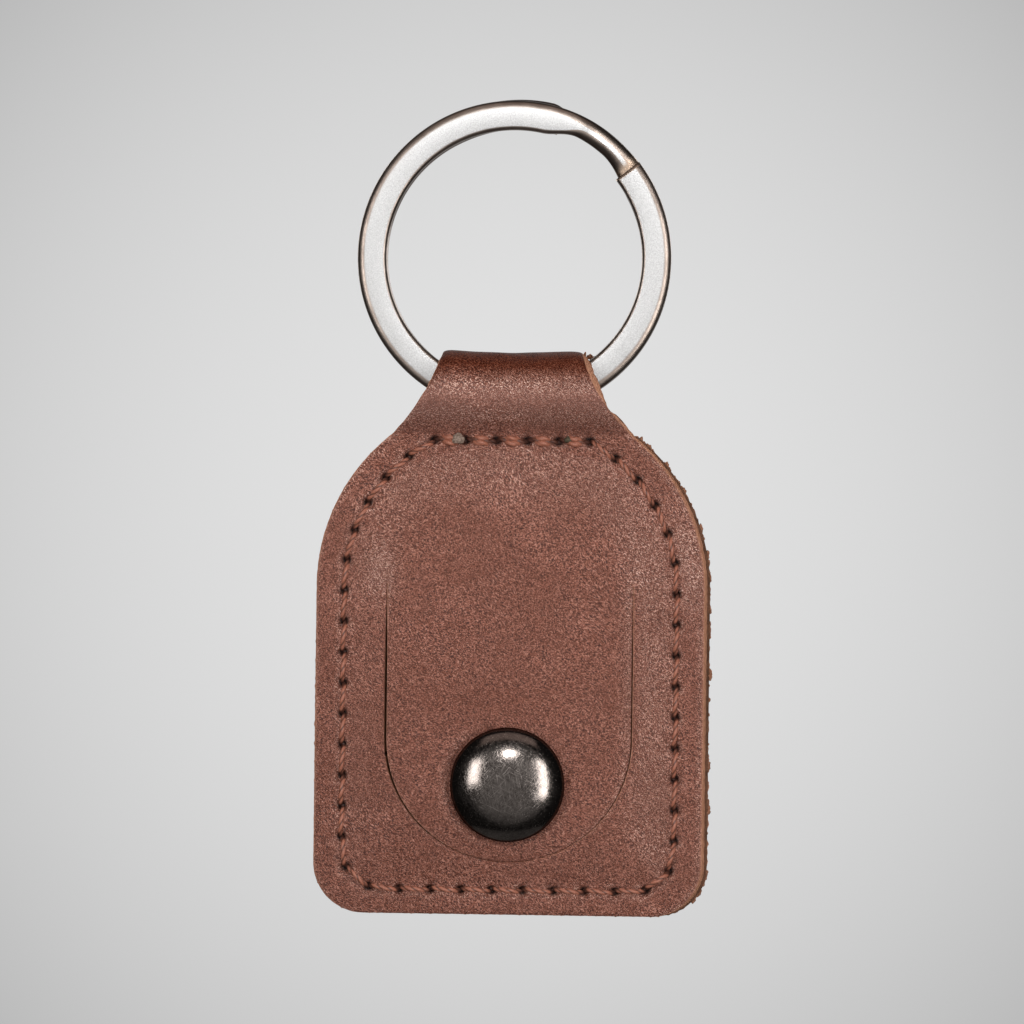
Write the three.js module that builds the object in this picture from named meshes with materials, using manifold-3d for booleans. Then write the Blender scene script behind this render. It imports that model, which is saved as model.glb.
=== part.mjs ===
// Coin holder keychain: one folded leather strip sewn round its edge into a flat coin pocket,
// a leather flap closed by a press stud, and a flat split ring through the fold.
// Millimetres. +X is to the right, the front faces -Y and +Z is up, as the keychain hangs.
// While the pieces are made, Z is the height above the bottom edge of the leather. At the end
// the whole group is lowered, so that the origin is the hang point, the inner top of the ring.

import * as THREE from 'three';
import { mergeVertices } from 'three/addons/utils/BufferGeometryUtils.js';
import Module from 'manifold-3d';

// Leather strip, as cut and folded
const leatherThickness = 1.2;
const bodyHalfWidth = 21.6;
const archCentreHeight = 36.4;
const bottomCornerRadius = 5.6;
const neckHalfWidth = 7.7;
const neckTaper = 0.25; // sideways run of the neck's edge at the fold for each millimetre of height
const neckJoinAngle = 51; // degrees round the shoulder arch where the neck leaves it

// Loop eye that the ring lies in
const eyeHalfDepth = 4.3;
const eyeCrownHeight = 3.7; // from the widest place up to the inside of the fold
const eyeFootGap = 1.2; // from the top seam up to where the two layers part
const eyeCrownPower = 2.6; // over 2 makes the top of the eye squarer than an ellipse
const eyeFootPower = 1.4; // under 2 makes the foot of the eye more pointed than an ellipse

// Seam, a closed line of lock stitches
const seamInset = 3.05;
const seamBottomInset = 2.7;
const seamTopDrop = 2.15; // from the crown of the seam's shoulder arch down to its straight top run
const seamCornerRadius = 3.0;
const stitchPitch = 3.47;
const threadRadius = 0.25;
const threadLift = 0.05; // how far the thread lies off the leather
const threadCrossGap = 0.3; // between the needle thread and the bobbin thread inside a slit
const threadLegSpread = 0.42; // from the middle of a slit to each leg of the thread
const slitClearance = 0.15;
const slitSlant = 10; // degrees between a slit and the seam, as a leather point cuts it

// Coin pocket, swollen inside the seam, and more to the back, so that the front stays nearly flat
const pocketFrontRise = 1.2;
const pocketBackRise = 3.0;
const pocketFootGap = 0.9; // from the seam to the foot of the swelling
const pocketSideSlope = 2.7;
const pocketBottomSlope = 2.0;
const pocketTopSlope = 9.0;
const pocketLiningInset = 0.6; // keeps the leather full along the slopes

// Flap, a tongue cut in the front layer
const flapMargin = 1.25; // from the side of the pocket's flat in to the flap
const flapTipHeight = 5.9;
const flapHingeDrop = 5.9; // from the top of the pocket's flat down to the hinge
const flapSlit = 0.3;

// Press stud
const snapHeight = 14.6;
const seatGap = 0.05;
const boreClearance = 0.2;
const capRadius = 6.35;
const capHeight = 3.0;
const capEquator = 0.9; // height of the cap's widest line above the flap
const capSheet = 0.4;
const capLip = 1.1; // width of the edge that is rolled under the cap
const barrelRadius = 1.8;
const barrelWall = 0.4;
const barrelFlange = 0.3;
const clinchWidth = 0.6;
const clinchThickness = 0.3;
const socketRadius = 5.2;
const socketHubRadius = 4.1;
const socketSheet = 0.4;
const socketLip = 0.2;
const socketMouthRadius = 3.0;
const springRadius = 2.88;
const springWire = 0.25; // radius of the spring's wire
const springOpening = 50; // degrees
const studFlangeRadius = 4.7;
const studFlange = 0.4;
const studNeckRadius = 2.2;
const studHeadRadius = 2.75;
const studHeadEdge = 0.1;
const studToRim = 0.25; // between the socket's rim and the stud's flange
const eyeletRadius = 1.5;
const eyeletWall = 0.35;
const eyeletHeadRadius = 4.4;
const eyeletHead = 0.45;

// Split ring, flat wire wound almost twice round
const ringOuterRadius = 17.5;
const ringWireWidth = 3.3;
const ringWireThickness = 1.32;
const ringTurnGap = 0.25;
const ringWireEdge = 0.52; // radius of the wire's rounded edges
const ringDrop = 3.2; // from the inside of the fold down to the inner edge of the ring
const ringFootGap = 1.7; // from the outer edge of the ring down to the foot of the eye
const ringStartAngle = 38; // degrees, where the front turn is cut off
const ringStepAngle = 63; // where the front turn starts to step back
const ringEndAngle = 72; // where the back turn is cut off
const ringStepWidth = 2.5; // width of the wire in the step

// Facets
const outlineSegments = 10;
const roundSegments = 28;
const capSteps = 8;
const capLiningSteps = 5;
const pocketSlopeSteps = 4;
const eyeSteps = 9;
const ringTurnStep = 7.5; // degrees
const threadSides = 5;

// Derived sizes
const degrees = Math.PI / 180;
const seamHalfWidth = bodyHalfWidth - seamInset;
const seamTopHeight = archCentreHeight + seamHalfWidth - seamTopDrop;
const ringInnerRadius = ringOuterRadius - ringWireWidth;
const eyeFootHeight = seamTopHeight + eyeFootGap;
const ringCentreHeight = eyeFootHeight + ringFootGap + ringOuterRadius;
const hangHeight = ringCentreHeight + ringInnerRadius;
const eyeTopHeight = ringCentreHeight - ringInnerRadius + ringDrop;
const eyeWidestHeight = eyeTopHeight - eyeCrownHeight;
const foldHeight = eyeTopHeight + leatherThickness;
const flapHalfWidth = seamHalfWidth - pocketFootGap - pocketSideSlope - flapMargin;
const flapHingeHeight = seamTopHeight - pocketFootGap - pocketTopSlope - flapHingeDrop;
const flapOuterY = -(leatherThickness + pocketFrontRise);
const flapInnerY = -pocketFrontRise;
const backInnerY = pocketBackRise;
const backOuterY = pocketBackRise + leatherThickness;
const flapBoreRadius = barrelRadius + boreClearance;
const backBoreRadius = eyeletRadius + boreClearance;
const eyeletSinkRadius = eyeletHeadRadius + boreClearance;
const eyeletSink = eyeletHead + seatGap;
const farOut = foldHeight; // reach of a cutter that has to pass right through

const wasm = await Module();
wasm.setup();

// Materials
function finish(color, roughness, metalness) {
  return new THREE.MeshStandardMaterial({ color, roughness, metalness });
}

const brownLeather = () => finish(0x7a4636, 0.55, 0.0);
const copperThread = () => finish(0x8a4a38, 0.7, 0.0);
const satinNickel = () => finish(0xc9c5c0, 0.32, 1.0);
const blackNickel = () => finish(0x5a5552, 0.22, 1.0);
const springSteel = () => finish(0x9b9c9e, 0.35, 1.0);

// Turns a closed three.js geometry into a solid that can be joined and cut, with its faces out.
function solid(geometry) {
  const bare = geometry.index ? geometry.clone() : mergeVertices(geometry);
  bare.deleteAttribute('normal');
  bare.deleteAttribute('uv');
  const merged = mergeVertices(bare, 1e-5);
  const place = merged.getAttribute('position');
  const corners = Array.from(merged.index.array);
  const triangles = [];
  let volume = 0;
  const a = new THREE.Vector3();
  const b = new THREE.Vector3();
  const c = new THREE.Vector3();
  for (let i = 0; i < corners.length; i += 3) {
    const [p, q, r] = corners.slice(i, i + 3);
    if (p === q || q === r || r === p) continue;
    a.fromBufferAttribute(place, p);
    b.fromBufferAttribute(place, q);
    c.fromBufferAttribute(place, r);
    volume += a.dot(b.cross(c));
    triangles.push(p, q, r);
  }
  const outward = volume > 0 ? triangles : triangles.toReversed();
  return new wasm.Manifold(new wasm.Mesh({
    numProp: 3,
    vertProperties: new Float32Array(place.array),
    triVerts: new Uint32Array(outward),
  }));
}

// Makes a named mesh from a solid.
function piece(name, body, material) {
  const skin = body.getMesh();
  const geometry = new THREE.BufferGeometry();
  geometry.setAttribute('position', new THREE.BufferAttribute(new Float32Array(skin.vertProperties), 3));
  geometry.setIndex(new THREE.BufferAttribute(new Uint32Array(skin.triVerts), 1));
  geometry.computeVertexNormals();
  const mesh = new THREE.Mesh(geometry, material);
  mesh.name = name;
  return mesh;
}

// Extrudes a shape drawn in the front view from one depth to another.
function frontPrism(shape, frontY, backY) {
  const geometry = new THREE.ExtrudeGeometry(shape, {
    depth: backY - frontY,
    bevelEnabled: false,
    curveSegments: outlineSegments,
  });
  geometry.rotateX(Math.PI / 2);
  geometry.translate(0, backY, 0);
  return solid(geometry);
}

// Extrudes a shape drawn in the side view, depth across and height up, over a width.
function sidePrism(shape, halfWidth) {
  const geometry = new THREE.ExtrudeGeometry(shape, { depth: 2 * halfWidth, bevelEnabled: false });
  geometry.translate(0, 0, -halfWidth);
  const depthAxis = new THREE.Vector3(0, 1, 0);
  const heightAxis = new THREE.Vector3(0, 0, 1);
  const widthAxis = new THREE.Vector3(1, 0, 0);
  geometry.applyMatrix4(new THREE.Matrix4().makeBasis(depthAxis, heightAxis, widthAxis));
  return solid(geometry);
}

// Revolves a closed profile of [radius, depth] pairs about the press stud's own line.
function snapTurning(profile) {
  const points = profile.map(([radius, y]) => new THREE.Vector2(radius, y));
  const onAxis = points[0].x === 0 && points.at(-1).x === 0;
  if (!onAxis) points.push(points[0].clone());
  const geometry = new THREE.LatheGeometry(points, roundSegments);
  geometry.translate(0, 0, snapHeight);
  return solid(geometry);
}

// Joins equal rings of points into one closed skin, capped at its ends or joined end to end.
function loft(rings, endless = false) {
  const count = rings[0].length;
  const spans = endless ? rings.length : rings.length - 1;
  const index = [];
  for (let i = 0; i < spans; i += 1) {
    const near = i * count;
    const far = ((i + 1) % rings.length) * count;
    for (let j = 0; j < count; j += 1) {
      const k = (j + 1) % count;
      index.push(near + j, far + j, far + k, near + j, far + k, near + k);
    }
  }
  if (!endless) {
    const end = (rings.length - 1) * count;
    for (let j = 1; j < count - 1; j += 1) {
      index.push(0, j, j + 1, end, end + j + 1, end + j);
    }
  }
  const geometry = new THREE.BufferGeometry();
  geometry.setAttribute('position', new THREE.Float32BufferAttribute(rings.flat().flatMap((p) => p.toArray()), 3));
  geometry.setIndex(index);
  return solid(geometry);
}

// Outline of the strip in the front view: rounded bottom, straight sides, shoulder arch, waisted neck.
function stripOutline() {
  const join = neckJoinAngle * degrees;
  const joinX = bodyHalfWidth * Math.cos(join);
  const joinHeight = archCentreHeight + bodyHalfWidth * Math.sin(join);
  // The neck's edge is a curve whose handle lies where the tangents at its two ends cross.
  const run = (joinX - neckHalfWidth - neckTaper * (foldHeight - joinHeight))
    / (Math.sin(join) - neckTaper * Math.cos(join));
  const handleX = joinX - run * Math.sin(join);
  const handleHeight = joinHeight + run * Math.cos(join);
  const side = bodyHalfWidth - bottomCornerRadius;
  const shape = new THREE.Shape();
  shape.moveTo(-side, 0);
  shape.lineTo(side, 0);
  shape.absarc(side, bottomCornerRadius, bottomCornerRadius, -Math.PI / 2, 0, false);
  shape.absarc(0, archCentreHeight, bodyHalfWidth, 0, join, false);
  shape.quadraticCurveTo(handleX, handleHeight, neckHalfWidth, foldHeight);
  shape.lineTo(-neckHalfWidth, foldHeight);
  shape.quadraticCurveTo(-handleX, handleHeight, -joinX, joinHeight);
  shape.absarc(0, archCentreHeight, bodyHalfWidth, Math.PI - join, Math.PI, false);
  shape.absarc(-side, bottomCornerRadius, bottomCornerRadius, Math.PI, 1.5 * Math.PI, false);
  return shape;
}

// Half of the eye in the side view, from its foot up to its crown, on the +Y side.
function eyeHalf() {
  const points = [];
  for (let i = 0; i <= eyeSteps; i += 1) {
    const a = (i / eyeSteps) * Math.PI / 2;
    const depth = eyeHalfDepth * Math.sin(a) ** (2 / eyeFootPower);
    const below = (eyeWidestHeight - eyeFootHeight) * Math.cos(a) ** (2 / eyeFootPower);
    points.push(new THREE.Vector2(depth, eyeWidestHeight - below));
  }
  for (let i = 1; i <= eyeSteps; i += 1) {
    const a = (i / eyeSteps) * Math.PI / 2;
    const depth = eyeHalfDepth * Math.cos(a) ** (2 / eyeCrownPower);
    const above = eyeCrownHeight * Math.sin(a) ** (2 / eyeCrownPower);
    points.push(new THREE.Vector2(depth, eyeWidestHeight + above));
  }
  return points;
}

// The same half, one leather thickness further out, measured square to the leather.
function loopHalf(eye) {
  return eye.map((point, i) => {
    const before = eye[Math.max(i - 1, 0)];
    const after = eye[Math.min(i + 1, eye.length - 1)];
    const along = after.clone().sub(before).normalize();
    const atCrown = i === eye.length - 1;
    const out = atCrown ? new THREE.Vector2(0, 1) : new THREE.Vector2(along.y, -along.x);
    return point.clone().addScaledVector(out, leatherThickness);
  });
}

// Side view of the folded strip: two layers together up to the seam, then round the eye.
function foldProfile() {
  const eye = eyeHalf();
  const loop = loopHalf(eye).filter((point) => point.x > leatherThickness || point.y > eyeWidestHeight);
  const flip = (point) => new THREE.Vector2(-point.x, point.y);
  const backFace = [new THREE.Vector2(leatherThickness, 0), new THREE.Vector2(leatherThickness, seamTopHeight)];
  const backHalf = [...backFace, ...loop];
  const profile = new THREE.Shape([...backHalf, ...backHalf.slice(0, -1).toReversed().map(flip)]);
  profile.holes.push(new THREE.Path([...eye, ...eye.slice(1, -1).toReversed().map(flip)]));
  return profile;
}

// One level line of the pocket's swelling, from the seam at 0 to the flat of the pocket at 1.
function pocketContour(climb, lining, y) {
  const half = seamHalfWidth - pocketFootGap - lining - pocketSideSlope * climb;
  const floor = seamBottomInset + pocketFootGap + lining + pocketBottomSlope * climb;
  const ceiling = seamTopHeight - pocketFootGap - lining - pocketTopSlope * climb;
  const corner = Math.max(seamCornerRadius - lining, leatherThickness);
  const shoulder = Math.asin((ceiling - archCentreHeight) / half);
  const points = [];
  const arc = (x, z, radius, from, to) => {
    for (let i = 0; i <= outlineSegments; i += 1) {
      const a = from + (to - from) * (i / outlineSegments);
      points.push(new THREE.Vector3(x + radius * Math.cos(a), y, z + radius * Math.sin(a)));
    }
  };
  arc(half - corner, floor + corner, corner, -Math.PI / 2, 0);
  arc(0, archCentreHeight, half, 0, shoulder);
  arc(0, archCentreHeight, half, Math.PI - shoulder, Math.PI);
  arc(corner - half, floor + corner, corner, Math.PI, 1.5 * Math.PI);
  return points;
}

// The swelling as a solid: its level lines from the flat of the front to the flat of the back.
function pocketSwelling(wall, lining) {
  const rings = [];
  for (let i = pocketSlopeSteps; i >= 0; i -= 1) {
    const climb = i / pocketSlopeSteps;
    rings.push(pocketContour(climb, lining, -wall - pocketFrontRise * Math.sin(climb * Math.PI / 2)));
  }
  for (let i = wall > 0 ? 0 : 1; i <= pocketSlopeSteps; i += 1) {
    const climb = i / pocketSlopeSteps;
    rings.push(pocketContour(climb, lining, wall + pocketBackRise * Math.sin(climb * Math.PI / 2)));
  }
  return loft(rings);
}

// Front view of the flap, a tongue with a round end, grown by the slit where it is the window.
function tongueShape(slit) {
  const half = flapHalfWidth + slit;
  const arcHeight = flapTipHeight + flapHalfWidth;
  const shape = new THREE.Shape();
  shape.moveTo(-half, flapHingeHeight + slit);
  shape.lineTo(-half, arcHeight);
  shape.absarc(0, arcHeight, half, Math.PI, 2 * Math.PI, false);
  shape.lineTo(half, flapHingeHeight + slit);
  return shape;
}

// A round hole or sink on the press stud's line.
function snapBore(radius, frontY, backY) {
  return snapTurning([[0, frontY], [radius, frontY], [radius, backY], [0, backY]]);
}

// Places of the stitch slits: the top run, straight across, and the long run round the pocket.
function stitchPlaces() {
  const cornerHeight = seamTopHeight - archCentreHeight;
  const shoulder = Math.asin(cornerHeight / seamHalfWidth);
  const cornerX = seamHalfWidth * Math.cos(shoulder);
  const side = seamHalfWidth - seamCornerRadius;
  const cornerCentre = seamBottomInset + seamCornerRadius;
  const across = new THREE.Path();
  across.moveTo(cornerX, seamTopHeight);
  across.lineTo(-cornerX, seamTopHeight);
  const round = new THREE.Path();
  round.absarc(0, archCentreHeight, seamHalfWidth, Math.PI - shoulder, Math.PI, false);
  round.absarc(-side, cornerCentre, seamCornerRadius, Math.PI, 1.5 * Math.PI, false);
  round.absarc(side, cornerCentre, seamCornerRadius, 1.5 * Math.PI, 2 * Math.PI, false);
  round.absarc(0, archCentreHeight, seamHalfWidth, 0, shoulder, false);
  const places = [];
  for (const run of [across, round]) {
    const stitches = Math.round(run.getLength() / stitchPitch);
    for (let i = 0; i < stitches; i += 1) {
      places.push(run.getPoint(i / stitches));
    }
  }
  return places;
}

// Direction of the seam at each slit, from the slit before to the slit after.
function seamDirection(places, i) {
  const before = places[(i + places.length - 1) % places.length];
  const after = places[(i + 1) % places.length];
  return after.clone().sub(before).normalize();
}

// A long six-sided slit through both layers at each stitch.
function stitchSlits(places) {
  const halfLength = threadLegSpread + threadRadius + slitClearance;
  const halfWidth = threadRadius + slitClearance;
  const slits = places.map((place, i) => {
    const along = seamDirection(places, i).rotateAround(new THREE.Vector2(), slitSlant * degrees);
    const across = new THREE.Vector2(-along.y, along.x);
    const corner = (u, v) => place.clone().addScaledVector(along, u).addScaledVector(across, v);
    const shape = new THREE.Shape([
      corner(halfLength, 0),
      corner(threadLegSpread, halfWidth),
      corner(-threadLegSpread, halfWidth),
      corner(-halfLength, 0),
      corner(-threadLegSpread, -halfWidth),
      corner(threadLegSpread, -halfWidth),
    ]);
    return frontPrism(shape, -2 * leatherThickness, 2 * leatherThickness);
  });
  return slits.reduce((all, slit) => all.add(slit));
}

// One thread: it lies along the leather from slit to slit and dips into each one.
// The side is -1 for the needle thread on the front and +1 for the bobbin thread on the back.
function seamThread(places, side) {
  const surface = side * (leatherThickness + threadRadius + threadLift);
  const dip = side * (threadRadius + threadCrossGap / 2);
  const line = [];
  places.forEach((place, i) => {
    const next = places[(i + 1) % places.length];
    const along = next.clone().sub(place).normalize();
    const leave = place.clone().addScaledVector(along, threadLegSpread);
    const arrive = next.clone().addScaledVector(along, -threadLegSpread);
    const across = seamDirection(places, i);
    line.push({ at: new THREE.Vector3(place.x, dip, place.y), along: across });
    line.push({ at: new THREE.Vector3(leave.x, surface, leave.y), along });
    line.push({ at: new THREE.Vector3(arrive.x, surface, arrive.y), along });
  });
  const rings = line.map(({ at, along }, i) => {
    const before = line[(i + line.length - 1) % line.length].at;
    const after = line[(i + 1) % line.length].at;
    const into = at.clone().sub(before).normalize();
    const onward = after.clone().sub(at).normalize();
    const heading = into.add(onward).normalize();
    const sideways = new THREE.Vector3(-along.y, 0, along.x);
    const upright = heading.clone().cross(sideways).normalize();
    const ring = [];
    for (let j = 0; j < threadSides; j += 1) {
      const a = (j / threadSides) * 2 * Math.PI;
      const point = at.clone();
      point.addScaledVector(sideways, threadRadius * Math.cos(a));
      point.addScaledVector(upright, threadRadius * Math.sin(a));
      ring.push(point);
    }
    return ring;
  });
  return loft(rings, true);
}

// Folded strip with its pocket, the window of the flap, the stud's hole and the stitch slits.
function leatherBody(places) {
  const folded = sidePrism(foldProfile(), 2 * bodyHalfWidth).intersect(frontPrism(stripOutline(), -farOut, farOut));
  const swollen = folded.add(pocketSwelling(leatherThickness, 0));
  const hollow = swollen.subtract(pocketSwelling(0, pocketLiningInset));
  const opened = hollow.subtract(frontPrism(tongueShape(flapSlit), -farOut, flapInnerY / 2));
  const bored = opened.subtract(snapBore(backBoreRadius, 0, farOut));
  const sunk = bored.subtract(snapBore(eyeletSinkRadius, backOuterY - eyeletSink, farOut));
  return sunk.subtract(stitchSlits(places));
}

// Tongue of leather that the cap is clinched to.
function coinFlap() {
  return frontPrism(tongueShape(0), flapOuterY, flapInnerY).subtract(snapBore(flapBoreRadius, -farOut, farOut));
}

// Domed cap of thin sheet, with its edge rolled under.
function capShell() {
  const seat = flapOuterY - seatGap;
  const equator = seat - capEquator;
  const crown = capHeight - capEquator;
  const dome = (radius, height, steps) => {
    const points = [];
    for (let i = 0; i <= steps; i += 1) {
      const a = (i / steps) * Math.PI / 2;
      points.push([radius * Math.sin(a), equator - height * Math.cos(a)]);
    }
    return points;
  };
  const outer = dome(capRadius, crown, capSteps);
  const inner = dome(capRadius - capSheet, crown - capSheet, capLiningSteps);
  const mouth = capRadius - capLip;
  const roll = [
    [capRadius - 0.1 * capLip, seat - 0.4 * capEquator],
    [capRadius - 0.5 * capLip, seat],
    [mouth, seat],
    [mouth, seat - capSheet],
    [capRadius - capSheet, seat - capSheet],
  ];
  return snapTurning([...outer, ...roll, ...inner.toReversed()]);
}

// Hollow rivet: its flange is caught inside the cap, its end is spread inside the socket.
function capBarrel() {
  const seat = flapOuterY - seatGap;
  const flangeBack = seat - capSheet - seatGap;
  const flangeFront = flangeBack - barrelFlange;
  const flangeRadius = capRadius - capSheet - boreClearance;
  const clinchFront = flapInnerY + seatGap + socketSheet + seatGap;
  const clinchBack = clinchFront + clinchThickness;
  return snapTurning([
    [barrelRadius - barrelWall, flangeFront],
    [flangeRadius, flangeFront],
    [flangeRadius, flangeBack],
    [barrelRadius, flangeBack],
    [barrelRadius, clinchFront],
    [barrelRadius + clinchWidth, clinchFront],
    [barrelRadius + clinchWidth, clinchBack],
    [barrelRadius - barrelWall, clinchBack],
  ]);
}

// Depths that the socket, its spring and the stud share
const socketSeatY = flapInnerY + seatGap;
const studFlangeBackY = backInnerY - seatGap;
const studFlangeFrontY = studFlangeBackY - studFlange;
const socketRimY = studFlangeFrontY - studToRim;
const springY = socketRimY - socketLip - seatGap - springWire;
const studHeadBackY = springY - springWire - studHeadEdge;
const studTopY = studHeadBackY - 2 * studHeadEdge;

// Socket: a flanged cup, open to the back, with a lip that keeps the spring in.
function snapSocket() {
  return snapTurning([
    [barrelRadius + boreClearance, socketSeatY],
    [socketRadius, socketSeatY],
    [socketRadius, socketSeatY + socketSheet],
    [socketHubRadius, socketSeatY + 2 * socketSheet],
    [socketHubRadius, socketRimY - socketLip],
    [socketHubRadius - socketLip, socketRimY],
    [socketMouthRadius, socketRimY],
    [socketMouthRadius, socketRimY - socketLip],
    [socketHubRadius - socketSheet, socketRimY - socketLip],
    [socketHubRadius - socketSheet, socketSeatY + socketSheet],
    [barrelRadius + boreClearance, socketSeatY + socketSheet],
  ]);
}

// Split wire spring that grips the stud's neck.
function socketSpring() {
  const steps = roundSegments;
  const rings = [];
  for (let i = 0; i <= steps; i += 1) {
    const turn = (springOpening / 2 + (360 - springOpening) * (i / steps)) * degrees;
    const ring = [];
    for (let j = 0; j < threadSides + 1; j += 1) {
      const a = (j / (threadSides + 1)) * 2 * Math.PI;
      const reach = springRadius + springWire * Math.cos(a);
      const place = [reach * Math.cos(turn), springY + springWire * Math.sin(a), snapHeight + reach * Math.sin(turn)];
      ring.push(new THREE.Vector3(...place));
    }
    rings.push(ring);
  }
  return loft(rings);
}

// Stud: a flange on the inside of the back layer, a neck and a wider head.
function snapStud() {
  return snapTurning([
    [backBoreRadius, studFlangeBackY],
    [studFlangeRadius, studFlangeBackY],
    [studFlangeRadius, studFlangeFrontY],
    [studNeckRadius, studFlangeFrontY],
    [studNeckRadius, springY - springWire],
    [studHeadRadius, studHeadBackY],
    [studHeadRadius, studHeadBackY - studHeadEdge],
    [studHeadRadius - 2 * studHeadEdge, studTopY],
    [backBoreRadius, studTopY],
  ]);
}

// Eyelet: a flat ring sunk into the back, with a tube that is spread over the stud's head.
function studEyelet() {
  const headBack = backOuterY;
  const headFront = backOuterY - eyeletHead;
  const clinchBack = studTopY - seatGap;
  const clinchFront = clinchBack - clinchThickness;
  return snapTurning([
    [eyeletRadius - eyeletWall, headBack],
    [eyeletHeadRadius - eyeletHead / 2, headBack],
    [eyeletHeadRadius, headBack - eyeletHead / 2],
    [eyeletHeadRadius, headFront],
    [eyeletRadius, headFront],
    [eyeletRadius, clinchBack],
    [eyeletRadius + clinchWidth, clinchBack],
    [eyeletRadius + clinchWidth, clinchFront],
    [eyeletRadius - eyeletWall, clinchFront],
  ]);
}

// Cross-section of the ring's wire, a flat bar with rounded edges, three points to a corner.
function wireSection(width, thickness) {
  const points = [];
  const x = width / 2 - ringWireEdge;
  const y = thickness / 2 - ringWireEdge;
  for (const [signX, signY, from] of [[1, 1, 0], [-1, 1, 90], [-1, -1, 180], [1, -1, 270]]) {
    for (const turn of [0, 45, 90]) {
      const a = (from + turn) * degrees;
      points.push([signX * x + ringWireEdge * Math.cos(a), signY * y + ringWireEdge * Math.sin(a)]);
    }
  }
  return points;
}

// Ring: the wire runs clockwise from its cut end, steps behind its own start and goes round again.
function splitRing() {
  const layer = (ringWireThickness + ringTurnGap) / 2;
  const first = ringStartAngle;
  const stepFrom = ringStepAngle - 360;
  const stepTo = ringStartAngle - 360;
  const last = ringEndAngle - 720;
  const steps = Math.ceil((first - last) / ringTurnStep);
  const rings = [];
  for (let i = 0; i <= steps; i += 1) {
    const angle = first + (last - first) * (i / steps);
    const through = THREE.MathUtils.smoothstep(-angle, -stepFrom, -stepTo);
    const narrowing = Math.sin(Math.PI * through);
    const width = ringWireWidth - (ringWireWidth - ringStepWidth) * narrowing;
    const centre = ringOuterRadius - width / 2;
    const y = layer * (2 * through - 1);
    rings.push(wireSection(width, ringWireThickness).map(([outward, back]) => {
      const reach = centre + outward;
      const x = reach * Math.cos(angle * degrees);
      const z = ringCentreHeight + reach * Math.sin(angle * degrees);
      return new THREE.Vector3(x, y + back, z);
    }));
  }
  return loft(rings);
}

// Assembly
const places = stitchPlaces();
const keychain = new THREE.Group();
keychain.add(
  piece('leather_body', leatherBody(places), brownLeather()),
  piece('coin_flap', coinFlap(), brownLeather()),
  piece('split_ring', splitRing(), satinNickel()),
  piece('cap_shell', capShell(), blackNickel()),
  piece('cap_barrel', capBarrel(), blackNickel()),
  piece('snap_socket', snapSocket(), blackNickel()),
  piece('socket_spring', socketSpring(), springSteel()),
  piece('snap_stud', snapStud(), blackNickel()),
  piece('stud_eyelet', studEyelet(), blackNickel()),
  piece('needle_thread', seamThread(places, -1), copperThread()),
  piece('bobbin_thread', seamThread(places, 1), copperThread()),
);
keychain.position.z = -hangHeight;

export default keychain;
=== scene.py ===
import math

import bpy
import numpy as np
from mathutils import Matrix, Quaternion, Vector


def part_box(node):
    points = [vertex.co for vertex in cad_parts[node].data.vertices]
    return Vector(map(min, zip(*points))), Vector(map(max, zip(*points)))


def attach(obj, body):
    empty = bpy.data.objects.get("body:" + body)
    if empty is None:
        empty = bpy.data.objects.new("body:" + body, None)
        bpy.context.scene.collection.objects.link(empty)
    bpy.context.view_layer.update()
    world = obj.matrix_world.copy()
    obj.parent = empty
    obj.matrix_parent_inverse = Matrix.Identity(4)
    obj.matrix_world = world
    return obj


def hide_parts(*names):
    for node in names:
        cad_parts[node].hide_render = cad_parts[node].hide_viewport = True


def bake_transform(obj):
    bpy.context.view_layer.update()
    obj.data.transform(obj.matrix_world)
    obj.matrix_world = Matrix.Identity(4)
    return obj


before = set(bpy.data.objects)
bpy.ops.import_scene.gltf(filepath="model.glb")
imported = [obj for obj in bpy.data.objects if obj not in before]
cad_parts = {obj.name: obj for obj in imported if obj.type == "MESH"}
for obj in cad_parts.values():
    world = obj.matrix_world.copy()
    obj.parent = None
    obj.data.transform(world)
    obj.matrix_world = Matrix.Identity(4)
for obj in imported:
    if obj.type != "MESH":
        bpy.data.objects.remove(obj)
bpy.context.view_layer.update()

# Looks of the coin holder keychain: grained leather with raw edges, twisted thread, a satin
# split ring and a black nickel press stud. Shapes are worked out in millimetres, with height
# above the leather's bottom edge, and are put into metres of the shared frame at the end.

MM = 0.001


def corners(node):
    """Lowest and highest corner of a CAD node in millimetres."""
    return (np.array(corner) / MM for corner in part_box(node))


# Sizes read from the frame
leather_low, leather_high = corners("leather_body")
flap_low, flap_high = corners("coin_flap")
cap_low, cap_high = corners("cap_shell")
_, ring_high = corners("split_ring")
socket_low, socket_high = corners("snap_socket")
stud_low, stud_high = corners("snap_stud")
eyelet_low, eyelet_high = corners("stud_eyelet")
barrel_low, barrel_high = corners("cap_barrel")
spring_low, spring_high = corners("socket_spring")
HANG = -leather_low[2]
BODY_HALF = leather_high[0]
FOLD_SAG = 0.45
FOLD = leather_high[2] + HANG - FOLD_SAG
LOOP_DEPTH = leather_high[1]
FLAP_HALF = flap_high[0]
FLAP_TIP = flap_low[2] + HANG
HINGE = flap_high[2] + HANG
FLAP_FACE = -flap_low[1]
SNAP = (cap_low[2] + cap_high[2]) / 2 + HANG
CAP_RADIUS = cap_high[0]
RING_OUTER = ring_high[0]

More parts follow.
